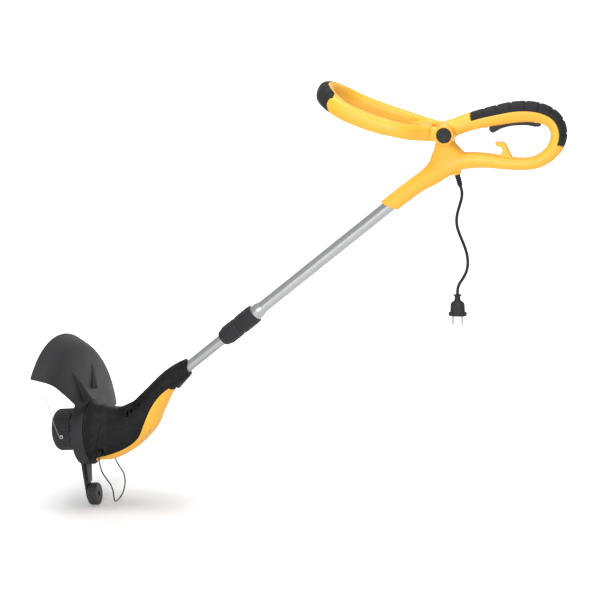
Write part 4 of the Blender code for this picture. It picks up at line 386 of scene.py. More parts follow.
SHAFT_SLOPE = radians(39.1)
ALUMINIUM = drawn_metal("satin_aluminium", (0.31, 0.315, 0.325), 0.34, (20.0, 3500.0, 3500.0), SHAFT_SLOPE, 0.00002)
STEEL = drawn_metal("plated_steel", (0.36, 0.365, 0.375), 0.30, (900.0, 900.0, 900.0), 0.0, 0.00001)
MOTOR_STEEL = drawn_metal("zinc_steel", (0.45, 0.46, 0.47), 0.42, (300.0, 300.0, 300.0), 0.0, 0.00002)
BRASS = drawn_metal("brass", (0.65, 0.48, 0.20), 0.35, (500.0, 500.0, 500.0), 0.0, 0.00002)
COPPER = moulded("varnished_winding", (0.55, 0.25, 0.12), (0.42, 0.17, 0.08), 0.35, 2400.0, 0.00030, coat=0.3,
                 metallic=0.8)
WIRE = moulded("coated_wire", (0.006, 0.006, 0.007), (0.009, 0.009, 0.010), 0.40, 900.0, 0.00004, 0.25)
LINE = moulded("nylon_line", (0.24, 0.25, 0.25), (0.20, 0.21, 0.21), 0.30, 1500.0, 0.00003, 0.5, 0.2)
print("metals:", ALUMINIUM.name, STEEL.name, MOTOR_STEEL.name, BRASS.name)

# %% [markdown]
# The pieces that stay as the frame has them, most of them inside the mouldings, only take a better finish.

# %% Finishes for the frame's own nodes
FINISH_OF_SLOT = {
    "yellow_plastic": YELLOW, "black_plastic": BLACK, "grey_plastic": GREY, "natural_plastic": NATURAL,
    "black_rubber": RUBBER, "steel": STEEL, "dark_wire": WIRE, "aluminium": ALUMINIUM,
    "motor_steel": MOTOR_STEEL, "copper_armature": COPPER, "brass": BRASS, "trimmer_line": LINE,
}
node_slots = {part["node"]: part["material_slot"] for part in frame["record"]["subparts"]}
for name, thing in frame["nodes"].items():
    finish = FINISH_OF_SLOT[node_slots[name]]
    if not thing.data.materials:
        thing.data.materials.append(finish)
    for index in range(len(thing.data.materials)):
        thing.data.materials[index] = finish
print("nodes with a known slot:", len(node_slots))

# %% [markdown]
# ## Light and floor
# Soft light from a large box overhead and a broad one in front, with a pale world that fills the shadows.
# The floor's own white is given to the camera's rays only, so it lights nothing and still keeps a shadow.
# That white is painted weaker near the cutting head, as painted shade that darkens the floor round the real shadow, and
# it grows to full white half a metre away.

# %% Floor, world and lamps
HEAD_SEAT = Vector((-0.88618, 0.0, -0.67946))
SPOOL_TILT = radians(5.0)
SPOOL_AXIS = Vector((cos(SPOOL_TILT), 0.0, sin(SPOOL_TILT)))
HEAD_UP = Vector((-sin(SPOOL_TILT), 0.0, cos(SPOOL_TILT)))
HEAD_FRAME = Matrix.Translation(HEAD_SEAT) @ Matrix((SPOOL_AXIS, SIDE, HEAD_UP)).transposed().to_4x4()
SPOOL_FRAME = frame_along(HEAD_SEAT, SPOOL_AXIS)


def head_point(along, across, up):
    """A point in the head's frame."""
    return HEAD_FRAME @ Vector((along, across, up))


FLOOR_Z = CAD_BOX[0][2] - 0.0003


def white_to_camera(tree):
    """1 for camera, glossy and transmission rays, which see plain white, and 0 for rays that light the object."""
    path = add(tree, "ShaderNodeLightPath")
    seen = add(tree, "ShaderNodeMath", {0: path.outputs["Is Camera Ray"], 1: path.outputs["Is Glossy Ray"]},
               operation="MAXIMUM")
    seen = add(tree, "ShaderNodeMath", {0: seen.outputs[0], 1: path.outputs["Is Transmission Ray"]},
               operation="MAXIMUM")
    return seen.outputs[0]


world = bpy.data.worlds.new("pale_world")
bpy.context.scene.world = world
world.use_nodes = True
sky = world.node_tree.nodes["Background"]
seen = white_to_camera(world.node_tree)
strength = add(world.node_tree, "ShaderNodeMapRange", {"Value": seen, "To Min": 0.46, "To Max": 1.0})
world.node_tree.links.new(strength.outputs["Result"], sky.inputs["Strength"])
sky.inputs["Color"].default_value = (1.0, 1.0, 1.0, 1.0)

floor = object_from(bmesh.new(), "floor")
bm = bmesh.new()
bmesh.ops.create_grid(bm, x_segments=2, y_segments=2, size=9.0)
bmesh.ops.translate(bm, vec=(0.0, 2.0, FLOOR_Z), verts=bm.verts[:])
bm.to_mesh(floor.data)
bm.free()
floor_finish, tree, shader = new_finish("floor_white")
speckle = add(tree, "ShaderNodeTexNoise", {"Vector": add(tree, "ShaderNodeTexCoord").outputs["Object"], "Scale": 40.0})
tree.links.new(spread(tree, speckle.outputs["Fac"], 0.88, 0.92), shader.inputs["Roughness"])
shader.inputs["Base Color"].default_value = (0.80, 0.80, 0.80, 1.0)
shader.inputs["Emission Color"].default_value = (1.0, 1.0, 1.0, 1.0)
# Painted shade: the floor's glow is weak under the cutting head and grows to full white away from it.
away = add(tree, "ShaderNodeVectorMath", {0: add(tree, "ShaderNodeTexCoord").outputs["Object"]}, operation="DISTANCE")
away.inputs[1].default_value = (-0.82, 0.0, FLOOR_Z)
far = add(tree, "ShaderNodeMapRange", {"Value": away.outputs["Value"], "From Min": 0.10, "From Max": 0.50,
                                       "To Min": 0.17, "To Max": 1.0})
lift = add(tree, "ShaderNodeMath", {0: white_to_camera(tree), 1: far.outputs["Result"]}, operation="MULTIPLY")
tree.links.new(lift.outputs[0], shader.inputs["Emission Strength"])
floor.data.materials.append(floor_finish)


def soft_box(name, place, aim, width, height, power):
    """A rectangular lamp that looks at a point."""
    lamp = bpy.data.objects.new(name, bpy.data.lights.new(name, "AREA"))
    lamp.data.shape = "RECTANGLE"
    lamp.data.size, lamp.data.size_y = width, height
    lamp.data.energy = power
    lamp.matrix_world = frame_along(Vector(place), Vector(place) - Vector(aim))
    bpy.context.scene.collection.objects.link(lamp)


soft_box("overhead", (-0.6, -0.3, 1.9), (-0.55, 0.0, -0.4), 1.5, 1.2, 32.0)
soft_box("front", (-0.3, -3.2, 0.6), (-0.45, 0.0, -0.4), 2.0, 1.8, 62.0)
bpy.context.scene.view_settings.view_transform = "Standard"
print("floor at z = %.4f" % FLOOR_Z)

# %% [markdown]
# ## The handle
# One bar runs from the shaft's sleeve, under and round the grip loop, and back to the pivot of the front handle,
# with a neck that closes the loop. The real handle is two mouldings that meet on the plane of symmetry.
# The skin is lofted through the same stations as the frame's solid with many more sides, joined, cut and rounded.

# %% Sizes of the handle
GAP = 0.0003
SHAFT_FOOT = Vector((-0.2375, 0.0, -0.1835))
SHAFT_DOWN = Vector((-cos(SHAFT_SLOPE), 0.0, -sin(SHAFT_SLOPE)))
SHAFT_FRAME = frame_along(SHAFT_FOOT, SHAFT_DOWN)
HANDLE_WALL = 0.0028
SECTION_POWER = 2.35
BAR_ROUTE = [
    # x, z, half height, half width
    (-0.1730, -0.1335, 0.0180, 0.0185), (-0.1455, -0.1168, 0.0197, 0.0200), (-0.1140, -0.0992, 0.0180, 0.0205),
    (-0.0810, -0.0865, 0.0168, 0.0185), (-0.0380, -0.0850, 0.0150, 0.0165), (0.0000, -0.0890, 0.0134, 0.0160),
    (0.0350, -0.0908, 0.0126, 0.0160), (0.0640, -0.0855, 0.0130, 0.0160), (0.0880, -0.0700, 0.0143, 0.0163),
    (0.1025, -0.0490, 0.0158, 0.0166), (0.1060, -0.0260, 0.0168, 0.0170), (0.0965, -0.0040, 0.0180, 0.0175),
    (0.0760, 0.0085, 0.0198, 0.0182), (0.0480, 0.0135, 0.0212, 0.0188), (0.0170, 0.0118, 0.0215, 0.0190),
    (-0.0150, 0.0055, 0.0205, 0.0190), (-0.0450, -0.0012, 0.0190, 0.0190), (-0.0750, -0.0100, 0.0178, 0.0195),
    (-0.1000, -0.0200, 0.0172, 0.0215), (-0.1130, -0.0270, 0.0168, 0.0230),
]
NECK_ROUTE = [
    # x, z, half width along X, half width along Y
    (-0.1530, -0.1180, 0.0280, 0.0150), (-0.1400, -0.1090, 0.0300, 0.0175), (-0.1270, -0.0985, 0.0325, 0.0188),
    (-0.1143, -0.0880, 0.0372, 0.0190), (-0.1120, -0.0740, 0.0345, 0.0195), (-0.1145, -0.0640, 0.0275, 0.0205),
    (-0.1185, -0.0530, 0.0210, 0.0220), (-0.1185, -0.0430, 0.0172, 0.0235), (-0.1140, -0.0290, 0.0160, 0.0240),
]
HUB = Vector((-0.1147, 0.0, -0.0297))
HUB_RADIUS = 0.0195
HUB_HALF_WIDTH = 0.0300
RELIEF_TOP = Vector((-0.0958, 0.0, -0.1150))
RELIEF_END = Vector((-0.0895, 0.0, -0.1385))
RELIEF_RADIUS = 0.0056
TRIGGER_PIVOT = Vector((0.0620, 0.0, -0.0050))
HANDLE_SCREWS = [(-0.1440, -0.1140), (-0.0560, -0.0855), (0.0830, -0.0740), (-0.0870, -0.0150)]
FINE_BAR = 8
FINE_SIDES = 56


def shaft_point(distance, offset=0.0):
    """A point on the shaft's axis, measured down from the handle's sleeve."""
    normal = Vector((-sin(SHAFT_SLOPE), 0.0, cos(SHAFT_SLOPE)))
    return SHAFT_FOOT + SHAFT_DOWN * distance + normal * offset


# %% The handle's outside
def bar_stations(steps=FINE_BAR):
    """The bar's sections: centre, up, half height and half width."""
    sleeve = [(*shaft_point(t).xz, 0.0175, 0.0175) for t in (-0.0056, -0.035)]
    run = smooth_run(sleeve + BAR_ROUTE, steps)
    stations = []
    for k, (x, z, height, width) in enumerate(run):
        before, after = run[max(k - 1, 0)], run[min(k + 1, len(run) - 1)]
        along = Vector((after[0] - before[0], 0.0, after[1] - before[1])).normalized()
        stations.append((Vector((x, 0.0, z)), Vector((along.z, 0.0, -along.x)), height, width))
    return stations


def handle_body(shrink):
    """The bar and the neck as one solid, or their hollow when a wall is taken off."""
    rings = []
    for k, (centre, up, height, width) in enumerate(bar_stations(FINE_BAR if shrink == 0.0 else 2)):
        if shrink > 0.0 and k < 8:
            continue
        ring = rounded_section(centre, up, SIDE, height - shrink, width - shrink,
                               FINE_SIDES if shrink == 0.0 else 20, SECTION_POWER)
        if k == 0:
            ring = [point - SHAFT_DOWN * 0.57 * (point - centre).dot(up) for point in ring]
        rings.append(ring)
    body = loft("handle_body", rings)
    rings = []
    for x, z, half_x, half_y in smooth_run(NECK_ROUTE, FINE_BAR if shrink == 0.0 else 1):
        rings.append(rounded_section(Vector((x, 0.0, z)), Vector((1.0, 0.0, 0.0)), SIDE, half_x - shrink,
                                     half_y - shrink, FINE_SIDES if shrink == 0.0 else 20, SECTION_POWER))
    return cut(body, [loft("neck", rings)], "UNION")


HOOK_OUTLINE = [
    (0.0160, -0.0860), (0.0135, -0.0760), (0.0010, -0.0500), (-0.0060, -0.0470), (-0.0185, -0.0470),
    (-0.0200, -0.0500), (-0.0180, -0.0555), (-0.0075, -0.0580), (-0.0045, -0.0640), (-0.0090, -0.0730),
    (-0.0140, -0.0830),
]
handle = handle_body(0.0)
half = SIDE * HUB_HALF_WIDTH
relief_up = (RELIEF_TOP - RELIEF_END).normalized()
cut(handle, [
    bar("hub", HUB - half, HUB + half, HUB_RADIUS, 72),
    bar("boss", RELIEF_TOP + relief_up * 0.020, RELIEF_TOP + relief_up * 0.0005, RELIEF_RADIUS + 0.0035),
    slab("hook", HOOK_OUTLINE, -0.0055, 0.0055),
    slab("lip", [(-0.0510, -0.0120), (-0.0470, -0.0178), (-0.0338, -0.0198), (-0.0338, -0.0080)], -0.0085, 0.0085),
], "UNION")
soften(handle, 0.0011, 10)
print("handle outside:", len(handle.data.polygons), "faces")

# %% [markdown]
# The rubber on the back of the loop is let into the shells. Its recess follows the same stations as the rubber,
# a C-shaped section over the back of the bar.

# %% The recess and the openings of the handle
RUBBER_FROM, RUBBER_TO = 9.0, 16.65
RUBBER_THICKNESS = 0.0024
RUBBER_EDGE = radians(84.0)


def rubber_stations():
    """The stations of the bar under the rubber."""
    stations = bar_stations()
    first = 2 * FINE_BAR
    return stations[int(first + RUBBER_FROM * FINE_BAR):int(first + RUBBER_TO * FINE_BAR) + 1]


def c_section(station, outer, inner, edge, arcs=17):
    """A C-shaped section over the back of the bar, between two skins."""
    centre, up, height, width = station
    ring = []
    for skin, order in ((outer, 1), (inner, -1)):
        for k in range(arcs):
            angle = edge * (2.0 * k / (arcs - 1) - 1.0) * order
            c, s = cos(angle), sin(angle)
            rise = (height + skin) * abs(c) ** (2.0 / SECTION_POWER)
            reach = (width + skin) * (1 if s >= 0 else -1) * abs(s) ** (2.0 / SECTION_POWER)
            ring.append(centre + up * rise + SIDE * reach)
    return ring


grip_run = rubber_stations()
recess = loft("recess", [c_section(s, 0.004, -RUBBER_THICKNESS, RUBBER_EDGE + radians(1.4)) for s in grip_run])
TRIGGER_SLOT = [
    (0.0735, -0.0300), (-0.0330, -0.0400), (-0.0330, 0.0020), (-0.0250, 0.0048), (0.0300, 0.0056),
    (0.0700, 0.0045), (0.0745, -0.0050),
]
tools = [
    handle_body(HANDLE_WALL + 0.0012), recess,
    bar("tube_bore", shaft_point(-0.1003), shaft_point(0.04), 0.0125 + GAP, 64),
    slab("trigger_slot", TRIGGER_SLOT, -0.0069, 0.0069),
    bar("bolt_bore", HUB - SIDE * 0.2, HUB + SIDE * 0.2, 0.0043, 32),
    cuboid("pocket", Vector((0.0455, -0.0080, -0.0748)), Vector((0.0115, 0.0015, 0.0045))),
    bar("relief_bore", RELIEF_END, RELIEF_TOP + relief_up * 0.0125, RELIEF_RADIUS * 0.62 + GAP, 32),
    bar("relief_groove", RELIEF_TOP + relief_up * 0.0035, RELIEF_TOP + relief_up * 0.0085, RELIEF_RADIUS + 0.0008),
]
for x, z in HANDLE_SCREWS:
    head = Vector((x, 0.0120, z))
    tools.append(bar("sink", head + SIDE * 0.03, head, 0.0035, 32))
cut(handle, tools)
for name, sign in (("handle_shell_near", -1.0), ("handle_shell_far", 1.0)):
    half_shell = twin(handle, name)
    keep = cuboid("keep", Vector((-0.06, sign * (0.1 + GAP / 2), -0.08)), Vector((0.3, 0.1, 0.2)))
    cut(half_shell, [keep], "INTERSECT")
    soften(half_shell, 0.0010, 1)
    place_piece(half_shell, name + "_skin", YELLOW, "handle", [name], 180.0)
bpy.data.objects.remove(handle, do_unlink=True)

# %% [markdown]
# ## The segmented rubber
# Nine soft blocks run over the back of the loop. Each block is slightly crowned and the grooves between them fade
# out before they reach the edge, so the rubber keeps one clean outline against the yellow shells.

# %% Rubber blocks
RUBBER_BLOCKS = 9


def ramp(value, low, high):
    """A smooth step from 0 at low to 1 at high."""
    u = min(1.0, max(0.0, (value - low) / (high - low)))
    return u * u * (3.0 - 2.0 * u)


def rubber_height(u, share):
    """How far the rubber stands over the bar, at a place in its block and a share of the way to its edge."""
    groove = (1.0 - ramp(min(u, 1.0 - u), 0.035, 0.095)) * (1.0 - ramp(abs(share), 0.80, 0.97))
    return -0.0004 - 0.0019 * groove - 0.0007 * ramp(abs(share), 0.90, 1.0)


def run_place(run, place):
    """A station at a fractional place along a run."""
    k = min(int(place), len(run) - 2)
    u = place - k
    a, b = run[k], run[k + 1]
    return a[0].lerp(b[0], u), a[1].lerp(b[1], u).normalized(), a[2] + (b[2] - a[2]) * u, a[3] + (b[3] - a[3]) * u


def rubber_ring(station, u, lowered, arcs=37):
    """One C-shaped ring of the rubber."""
    centre, up, height, width = station
    ring = []
    for inner in (False, True):
        for k in range(arcs):
            share = (2.0 * k / (arcs - 1) - 1.0) * (-1.0 if inner else 1.0)
            skin = -RUBBER_THICKNESS + 0.0002 if inner else rubber_height(u, share) - lowered
            c, s = cos(RUBBER_EDGE * share), sin(RUBBER_EDGE * share)
            rise = (height + skin) * abs(c) ** (2.0 / SECTION_POWER)
            reach = (width + skin) * (1 if s >= 0 else -1) * abs(s) ** (2.0 / SECTION_POWER)
            ring.append(centre + up * rise + SIDE * reach)
    return ring


rings = []
steps = RUBBER_BLOCKS * 26
for k in range(steps + 1):
    along = k / steps
    u = (along * RUBBER_BLOCKS) % 1.0 if 0 < k < steps else 0.5
    lowered = 0.0008 * (1.0 - ramp(min(along, 1.0 - along), 0.0, 0.006))
    rings.append(rubber_ring(run_place(grip_run, along * (len(grip_run) - 1)), u, lowered))
place_piece(loft("rubber", rings), "grip_rubber", RUBBER, "handle", ["grip_overmould"], 50.0)

# %% [markdown]
# ## The trigger
# A slim curved blade hinged at its back end. Its outline is a closed smooth run, and its edges are rounded.

# %% Trigger
TRIGGER_BLADE = [
    (0.0700, -0.0150), (0.0600, -0.0158), (0.0430, -0.0132), (0.0160, -0.0145), (-0.0060, -0.0202),
    (-0.0200, -0.0278), (-0.0262, -0.0283), (-0.0310, -0.0225),
]
TRIGGER_BODY = [(-0.0290, -0.0070), (0.0120, -0.0014), (0.0480, 0.0026), (0.0680, 0.0010), (0.0720, -0.0060)]
outline = smooth_run(TRIGGER_BLADE, 6) + TRIGGER_BODY
trigger = slab("trigger", outline, -0.0063, 0.0063)
soften(trigger, 0.0006, 6)
cut(trigger, [bar("bore", TRIGGER_PIVOT - SIDE * 0.02, TRIGGER_PIVOT + SIDE * 0.02, 0.0023, 24),
              bar("seat", Vector((-0.0160, 0.0, -0.0100)), Vector((-0.0160, 0.0, 0.02)), 0.0036, 24)])
place_piece(trigger, "trigger_blade", BLACK, "trigger", ["trigger"], 40.0)

# %% [markdown]
# ## The front handle
# A hoop that opens forward from the hub, leaning outward as it rises to its front, with a bridge between its arms.
# Its front is covered by a black grip whose tongue runs back between the two rounded ends of the yellow arms.

# %% The hoop
HOOP_ROUTE = [
    # x, half spacing along Y, z, half height, half thickness
    (-0.1147, 0.0362, -0.0297, 0.0150, 0.0058), (-0.1430, 0.0364, -0.0272, 0.0150, 0.0060),
    (-0.1490, 0.0390, -0.0262, 0.0155, 0.0088), (-0.1620, 0.0445, -0.0246, 0.0155, 0.0098),
    (-0.1850, 0.0590, -0.0205, 0.0153, 0.0110),
    (-0.2100, 0.0655, -0.0140, 0.0155, 0.0118), (-0.2400, 0.0670, -0.0062, 0.0168, 0.0120),
    (-0.2730, 0.0670, 0.0048, 0.0172, 0.0120), (-0.3080, 0.0640, 0.0188, 0.0176, 0.0125),
    (-0.3320, 0.0530, 0.0318, 0.0190, 0.0138), (-0.3520, 0.0290, 0.0432, 0.0206, 0.0155),
    (-0.3605, 0.0000, 0.0480, 0.0205, 0.0160),
]
CHEEK_OUTER = HUB_HALF_WIDTH + 0.0006 + 0.0120


def hoop_stations(steps=8):
    """The hoop's sections from the near hub round the front to the far hub."""
    near = [(x, -y, z, h, t) for x, y, z, h, t in HOOP_ROUTE]
    run = smooth_run(near + HOOP_ROUTE[-2::-1], steps)
    stations = []
    for k, (x, y, z, height, thickness) in enumerate(run):
        along = (Vector(run[min(k + 1, len(run) - 1)][:3]) - Vector(run[max(k - 1, 0)][:3])).normalized()
        lean = radians(22.0) * min(1.0, max(0.0, (HUB.x - x) / 0.150))
        side = along.cross(Vector((sin(lean), 0.0, cos(lean)))).normalized()
        stations.append((Vector((x, y, z)), side.cross(along).normalized(), side, height, thickness))
    return stations


def hoop(shrink, steps=8, sides=48):
    """The hoop as one lofted bar."""
    return loft("hoop", [rounded_section(c, up, side, h - shrink, t - shrink, sides, 2.4)
                         for c, up, side, h, t in hoop_stations(steps)])


FRONT_GRIP_LINE = [
    # back from the middle of the hoop's front, height over it
    (0.0225, -0.0500), (0.0205, -0.0330), (0.0175, -0.0240), (0.0160, -0.0160), (0.0190, -0.0080),
    (0.0240, -0.0030), (0.0295, 0.0010), (0.0295, 0.0500),
]


def front_space(grow=0.0):
    """The space of the grip: outside the hoop's middle and ahead of a line with a tongue at its top."""
    stations = hoop_stations()
    middle = len(stations) // 2
    rings = [[centre + side * across + up * rise for across, rise in (
        (grow, -0.05), (-0.05, -0.05), (-0.05, 0.05), (grow, 0.05))]
        for centre, up, side, height, thickness in stations[middle - 40:middle + 41]]
    front = stations[middle][0]
    line = [(front.x + back + grow, front.z + rise) for back, rise in smooth_run(FRONT_GRIP_LINE, 6)]
    line += [(front.x - 0.12, line[-1][1]), (front.x - 0.12, line[0][1])]
    return cut(loft("front_space", rings), [slab("ahead", line, -0.12, 0.12)], "INTERSECT")


# %% Join, cut and part the hoop
hoop_whole = hoop(0.0)
bridge_rings = []
for share in [k / 10 - 1.0 for k in range(21)]:
    back, front = -0.1460, -0.1710 - 0.0280 * abs(share) ** 2.5
    bridge_rings.append(rounded_section(Vector(((front + back) / 2, 0.0440 * share, -0.0245)),
                                        Vector((0.0, 0.0, 1.0)), Vector((1.0, 0.0, 0.0)),
                                        0.0095, (back - front) / 2, 40, 4.0))
bridge = loft("bridge", bridge_rings)
cheeks = [bar("cheek", HUB + SIDE * sign * (HUB_HALF_WIDTH + 0.0006), HUB + SIDE * sign * CHEEK_OUTER, HUB_RADIUS, 72)
          for sign in (-1.0, 1.0)]
cut(hoop_whole, [bridge] + cheeks, "UNION")
soften(hoop_whole, 0.0011, 8)
inner = HUB_HALF_WIDTH + 0.0006
wells = [bar("clearance", HUB - SIDE * inner, HUB + SIDE * inner, HUB_RADIUS + 0.0120, 96)]
for sign, travel in ((-1.0, 0.0047), (1.0, 0.0)):
    wells.append(bar("well", HUB + SIDE * sign * (CHEEK_OUTER - 0.0030 - travel - GAP),
                     HUB + SIDE * sign * (CHEEK_OUTER + 0.03), 0.0147 + GAP, 72))
wells.append(bar("bolt", HUB - SIDE * 0.1, HUB + SIDE * 0.1, 0.0043, 32))
cut(hoop_whole, wells)

grip = twin(hoop_whole, "front_grip")
cut(grip, [front_space()], "INTERSECT")
arms = cut(hoop_whole, [front_space(GAP)])
core = cut(hoop(0.0030, 4, 32), [front_space(0.0188)], "INTERSECT")
cut(arms, [core], "UNION")
soften(arms, 0.0010, 1)
place_piece(arms, "front_handle_skin", YELLOW, "front_handle", ["front_handle"], 180.0)

# %% [markdown]
# The grip is parted by shallow grooves across the hoop. Each groove is a thin slab less the hoop's own core,
# so its floor follows the surface at one depth.

# %% Grooves of the front grip
middle = len(hoop_stations()) // 2
grooves = []
for offset in (-13, -8, -3, 3, 8, 13):
    centre, up, side, height, thickness = hoop_stations()[middle + offset]
    place = Matrix.Translation(centre) @ Matrix((side, up.cross(side), up)).transposed().to_4x4()
    grooves.append(cuboid("groove", Vector((0.0, 0.0, 0.0)), Vector((0.04, 0.00095, 0.04)), place))
floor_core = hoop(0.0017, 8, 32)
for groove in grooves:
    keep = twin(floor_core, "core")
    cut(groove, [keep])
cut(grip, [hoop(0.0028, 4, 32)] + grooves)
bpy.data.objects.remove(floor_core, do_unlink=True)
soften(grip, 0.0007, 1)
place_piece(grip, "front_grip_skin", RUBBER, "front_handle", ["front_grip"], 180.0)

# %% [markdown]
# ## Rings of small forms
# Teeth, ribs and treads repeat round an axis. One Geometry Nodes tree sets copies of a small piece on a circle,
# each turned to face outward, and its inputs are named for what they are.

# %% The ring tree
def ring_tree():
    """Copies of one piece round local Z, with local X of each copy pointing out."""
    tree = bpy.data.node_groups.new("ring_of_pieces", "GeometryNodeTree")
    face = tree.interface
    face.new_socket("Piece", in_out="INPUT", socket_type="NodeSocketObject")
    face.new_socket("Count", in_out="INPUT", socket_type="NodeSocketInt")
    face.new_socket("Radius", in_out="INPUT", socket_type="NodeSocketFloat")
    face.new_socket("Finish", in_out="INPUT", socket_type="NodeSocketMaterial")
    face.new_socket("Geometry", in_out="OUTPUT", socket_type="NodeSocketGeometry")
    given = tree.nodes.new("NodeGroupInput")
    circle = add(tree, "GeometryNodeMeshCircle", {"Vertices": given.outputs["Count"],
                                                  "Radius": given.outputs["Radius"]})
    piece = add(tree, "GeometryNodeObjectInfo", {"Object": given.outputs["Piece"]})
    place = add(tree, "GeometryNodeInputPosition")
    facing = add(tree, "FunctionNodeAlignRotationToVector", {"Vector": place.outputs["Position"]}, axis="X")
    copies = add(tree, "GeometryNodeInstanceOnPoints", {
        "Points": circle.outputs["Mesh"], "Instance": piece.outputs["Geometry"],
        "Rotation": facing.outputs["Rotation"]})
    real = add(tree, "GeometryNodeRealizeInstances", {"Geometry": copies.outputs["Instances"]})
    painted = add(tree, "GeometryNodeSetMaterial", {"Geometry": real.outputs["Geometry"],
                                                    "Material": given.outputs["Finish"]})
    result = tree.nodes.new("NodeGroupOutput")
    tree.links.new(painted.outputs["Geometry"], result.inputs["Geometry"])
    return tree


RING_TREE = ring_tree()


def ring_of(name, piece, count, radius, finish, place):
    """A plain mesh of the copies, put in its place; the single piece is used up."""
    carrier = object_from(bmesh.new(), name)
    modifier = carrier.modifiers.new("ring", "NODES")
    modifier.node_group = RING_TREE
    values = {"Piece": piece, "Count": count, "Radius": radius, "Finish": finish}
    for item in RING_TREE.interface.items_tree:
        if item.in_out == "INPUT":
            modifier[item.identifier] = values[item.name]
    bpy.context.view_layer.update()
    apply_modifiers(carrier)
    carrier.data.transform(place)
    bpy.data.objects.remove(piece, do_unlink=True)
    return carrier


def together(name, things):
    """Several meshes as one object."""
    bm = bmesh.new()
    for thing in things:
        bm.from_mesh(thing.data)
        bpy.data.objects.remove(thing, do_unlink=True)
    mesh = bpy.data.meshes.new(name)
    bm.to_mesh(mesh)
    bm.free()
    whole = bpy.data.objects.new(name, mesh)
    bpy.context.scene.collection.objects.link(whole)
    return whole


def round_rod(length, radius, sides=8):
    """A short round rod along local Z with softened ends."""
    lift = radius * 0.6
    return turned("rod", [(0.0, 0.0), (radius - lift * 0.5, 0.0), (radius, lift), (radius, length - lift),
                          (radius - lift * 0.5, length), (0.0, length)], Matrix.Identity(4), sides)


print("ring tree:", len(RING_TREE.nodes), "nodes")

# %% [markdown]
# ## The lock button and the far cap
# A dished disc in a ring of small teeth that a thumb can grip.

# %% Button and cap
for name, body, slot, sign in (("lock_button", "lock_button", "black_plastic", -1.0),
                               ("pivot_cap", "front_handle", "black_plastic", 1.0)):
    seat = frame_along(HUB + SIDE * sign * (CHEEK_OUTER - 0.0030), SIDE * sign)
    disc = turned("disc", [
        (0.0, 0.0025), (0.0060, 0.0025), (0.0060, 0.0), (0.0136, 0.0), (0.0136, 0.0076), (0.0131, 0.0086),
        (0.0121, 0.0090), (0.0110, 0.0088), (0.0102, 0.0080), (0.0092, 0.0077), (0.0050, 0.0075), (0.0, 0.0074)],
        seat, 96)
    teeth = ring_of("teeth", round_rod(0.0086, 0.0011), 24, 0.0132, BLACK, seat)
    place_piece(together(name + "_disc", [disc, teeth]), name + "_disc", BLACK, body, [name], 40.0)

# %% [markdown]
# ## Strain relief, cord and plug
# The relief is a taper of soft rings, so the cord bends over it and not at a sharp edge.
# The plug is a flat two-pin body with a waist for the fingers and a wider face.

# %% Strain relief
down = (RELIEF_END - RELIEF_TOP).normalized()
length = (RELIEF_END - RELIEF_TOP).length
profile = [(0.0, -0.0120), (0.0034, -0.0120), (0.0034, -0.0080), (0.0061, -0.0080), (0.0061, -0.0040),
           (0.0034, -0.0040), (0.0034, GAP), (RELIEF_RADIUS - 0.0003, GAP)]
RELIEF_RINGS = 5
for k in range(RELIEF_RINGS):
    for share, height in ((0.10, 0.0), (0.70, 0.0), (0.80, -0.0009), (1.0, -0.0009)):
        along = 0.0012 + (length - 0.0040) * (k + share) / RELIEF_RINGS
        profile.append((RELIEF_RADIUS - 0.0004 * along / length + height, along))
profile += [(RELIEF_RADIUS - 0.0010, length - 0.0016), (CORD_DIAMETER / 2 + 0.0010, length - 0.0004), (0.0, length - 0.0004)]
relief = turned("relief", profile, frame_along(RELIEF_TOP, down), 48)
place_piece(relief, "strain_relief_skin", RUBBER, "handle", ["strain_relief"], 40.0)

# %% Plug
face_x, face_z = CORD_ROUTE[-1][0], CORD_ROUTE[-1][1] - GAP
levels = [
    (0.0, 0.0074, 0.0074), (0.0006, 0.0080, 0.0080), (0.0018, 0.0080, 0.0080), (0.0024, 0.0074, 0.0074),
    (0.0030, 0.0056, 0.0056), (0.0070, 0.0058, 0.0057), (0.0115, 0.0064, 0.0060), (0.0135, 0.0088, 0.0066),
    (0.0155, 0.0118, 0.0076), (0.0180, 0.0136, 0.0081), (0.0220, 0.0145, 0.0086), (0.0300, 0.0148, 0.0088),
    (0.0350, 0.0150, 0.0090), (0.0360, 0.0155, 0.0094), (0.0366, 0.0178, 0.0111), (0.0375, 0.0185, 0.0115),
    (0.0422, 0.0185, 0.0115), (0.0430, 0.0178, 0.0109),
]
plug = loft("plug", [rounded_section(Vector((face_x, 0.0, face_z - drop)), SIDE, Vector((1.0, 0.0, 0.0)),
                                     half_y, half_x, 64, 2.4) for drop, half_x, half_y in levels])
bores = [bar("bore", Vector((face_x + x, 0.0, face_z - 0.0328)), Vector((face_x + x, 0.0, face_z - 0.05)), 0.0027, 24)
         for x in (-0.0095, 0.0095)]
cut(plug, bores)
place_piece(plug, "plug_skin", BLACK, "handle", ["plug_body"], 40.0)
for name, x in (("plug_pin_near", -0.0095), ("plug_pin_far", 0.0095)):
    top = Vector((face_x + x, 0.0, face_z - 0.0330))
    pin = turned("pin", [(0.0, 0.0), (0.0024, 0.0), (0.0024, 0.0274), (0.0022, 0.0284), (0.0014, 0.0290), (0.0, 0.0290)],
                 frame_along(top, Vector((0.0, 0.0, -1.0))), 32)
    place_piece(pin, name + "_skin", STEEL, "handle", [name], 40.0)

# %% The cord itself
curve = bpy.data.curves.new("mains_cord_line", "CURVE")
curve.dimensions = "3D"
spline = curve.splines.new("POLY")
spline.points.add(len(cord_points) - 1)
for point, where in zip(spline.points, cord_points):
    point.co = (*where, 1.0)
curve.bevel_depth = CORD_DIAMETER / 2
curve.bevel_resolution = 6
curve.use_fill_caps = True
curve.materials.append(RUBBER)
cord = bpy.data.objects.new("mains_cord_line", curve)
bpy.context.scene.collection.objects.link(cord)
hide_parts("mains_cord")
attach(cord, "handle")
print("cord points:", len(cord_points))

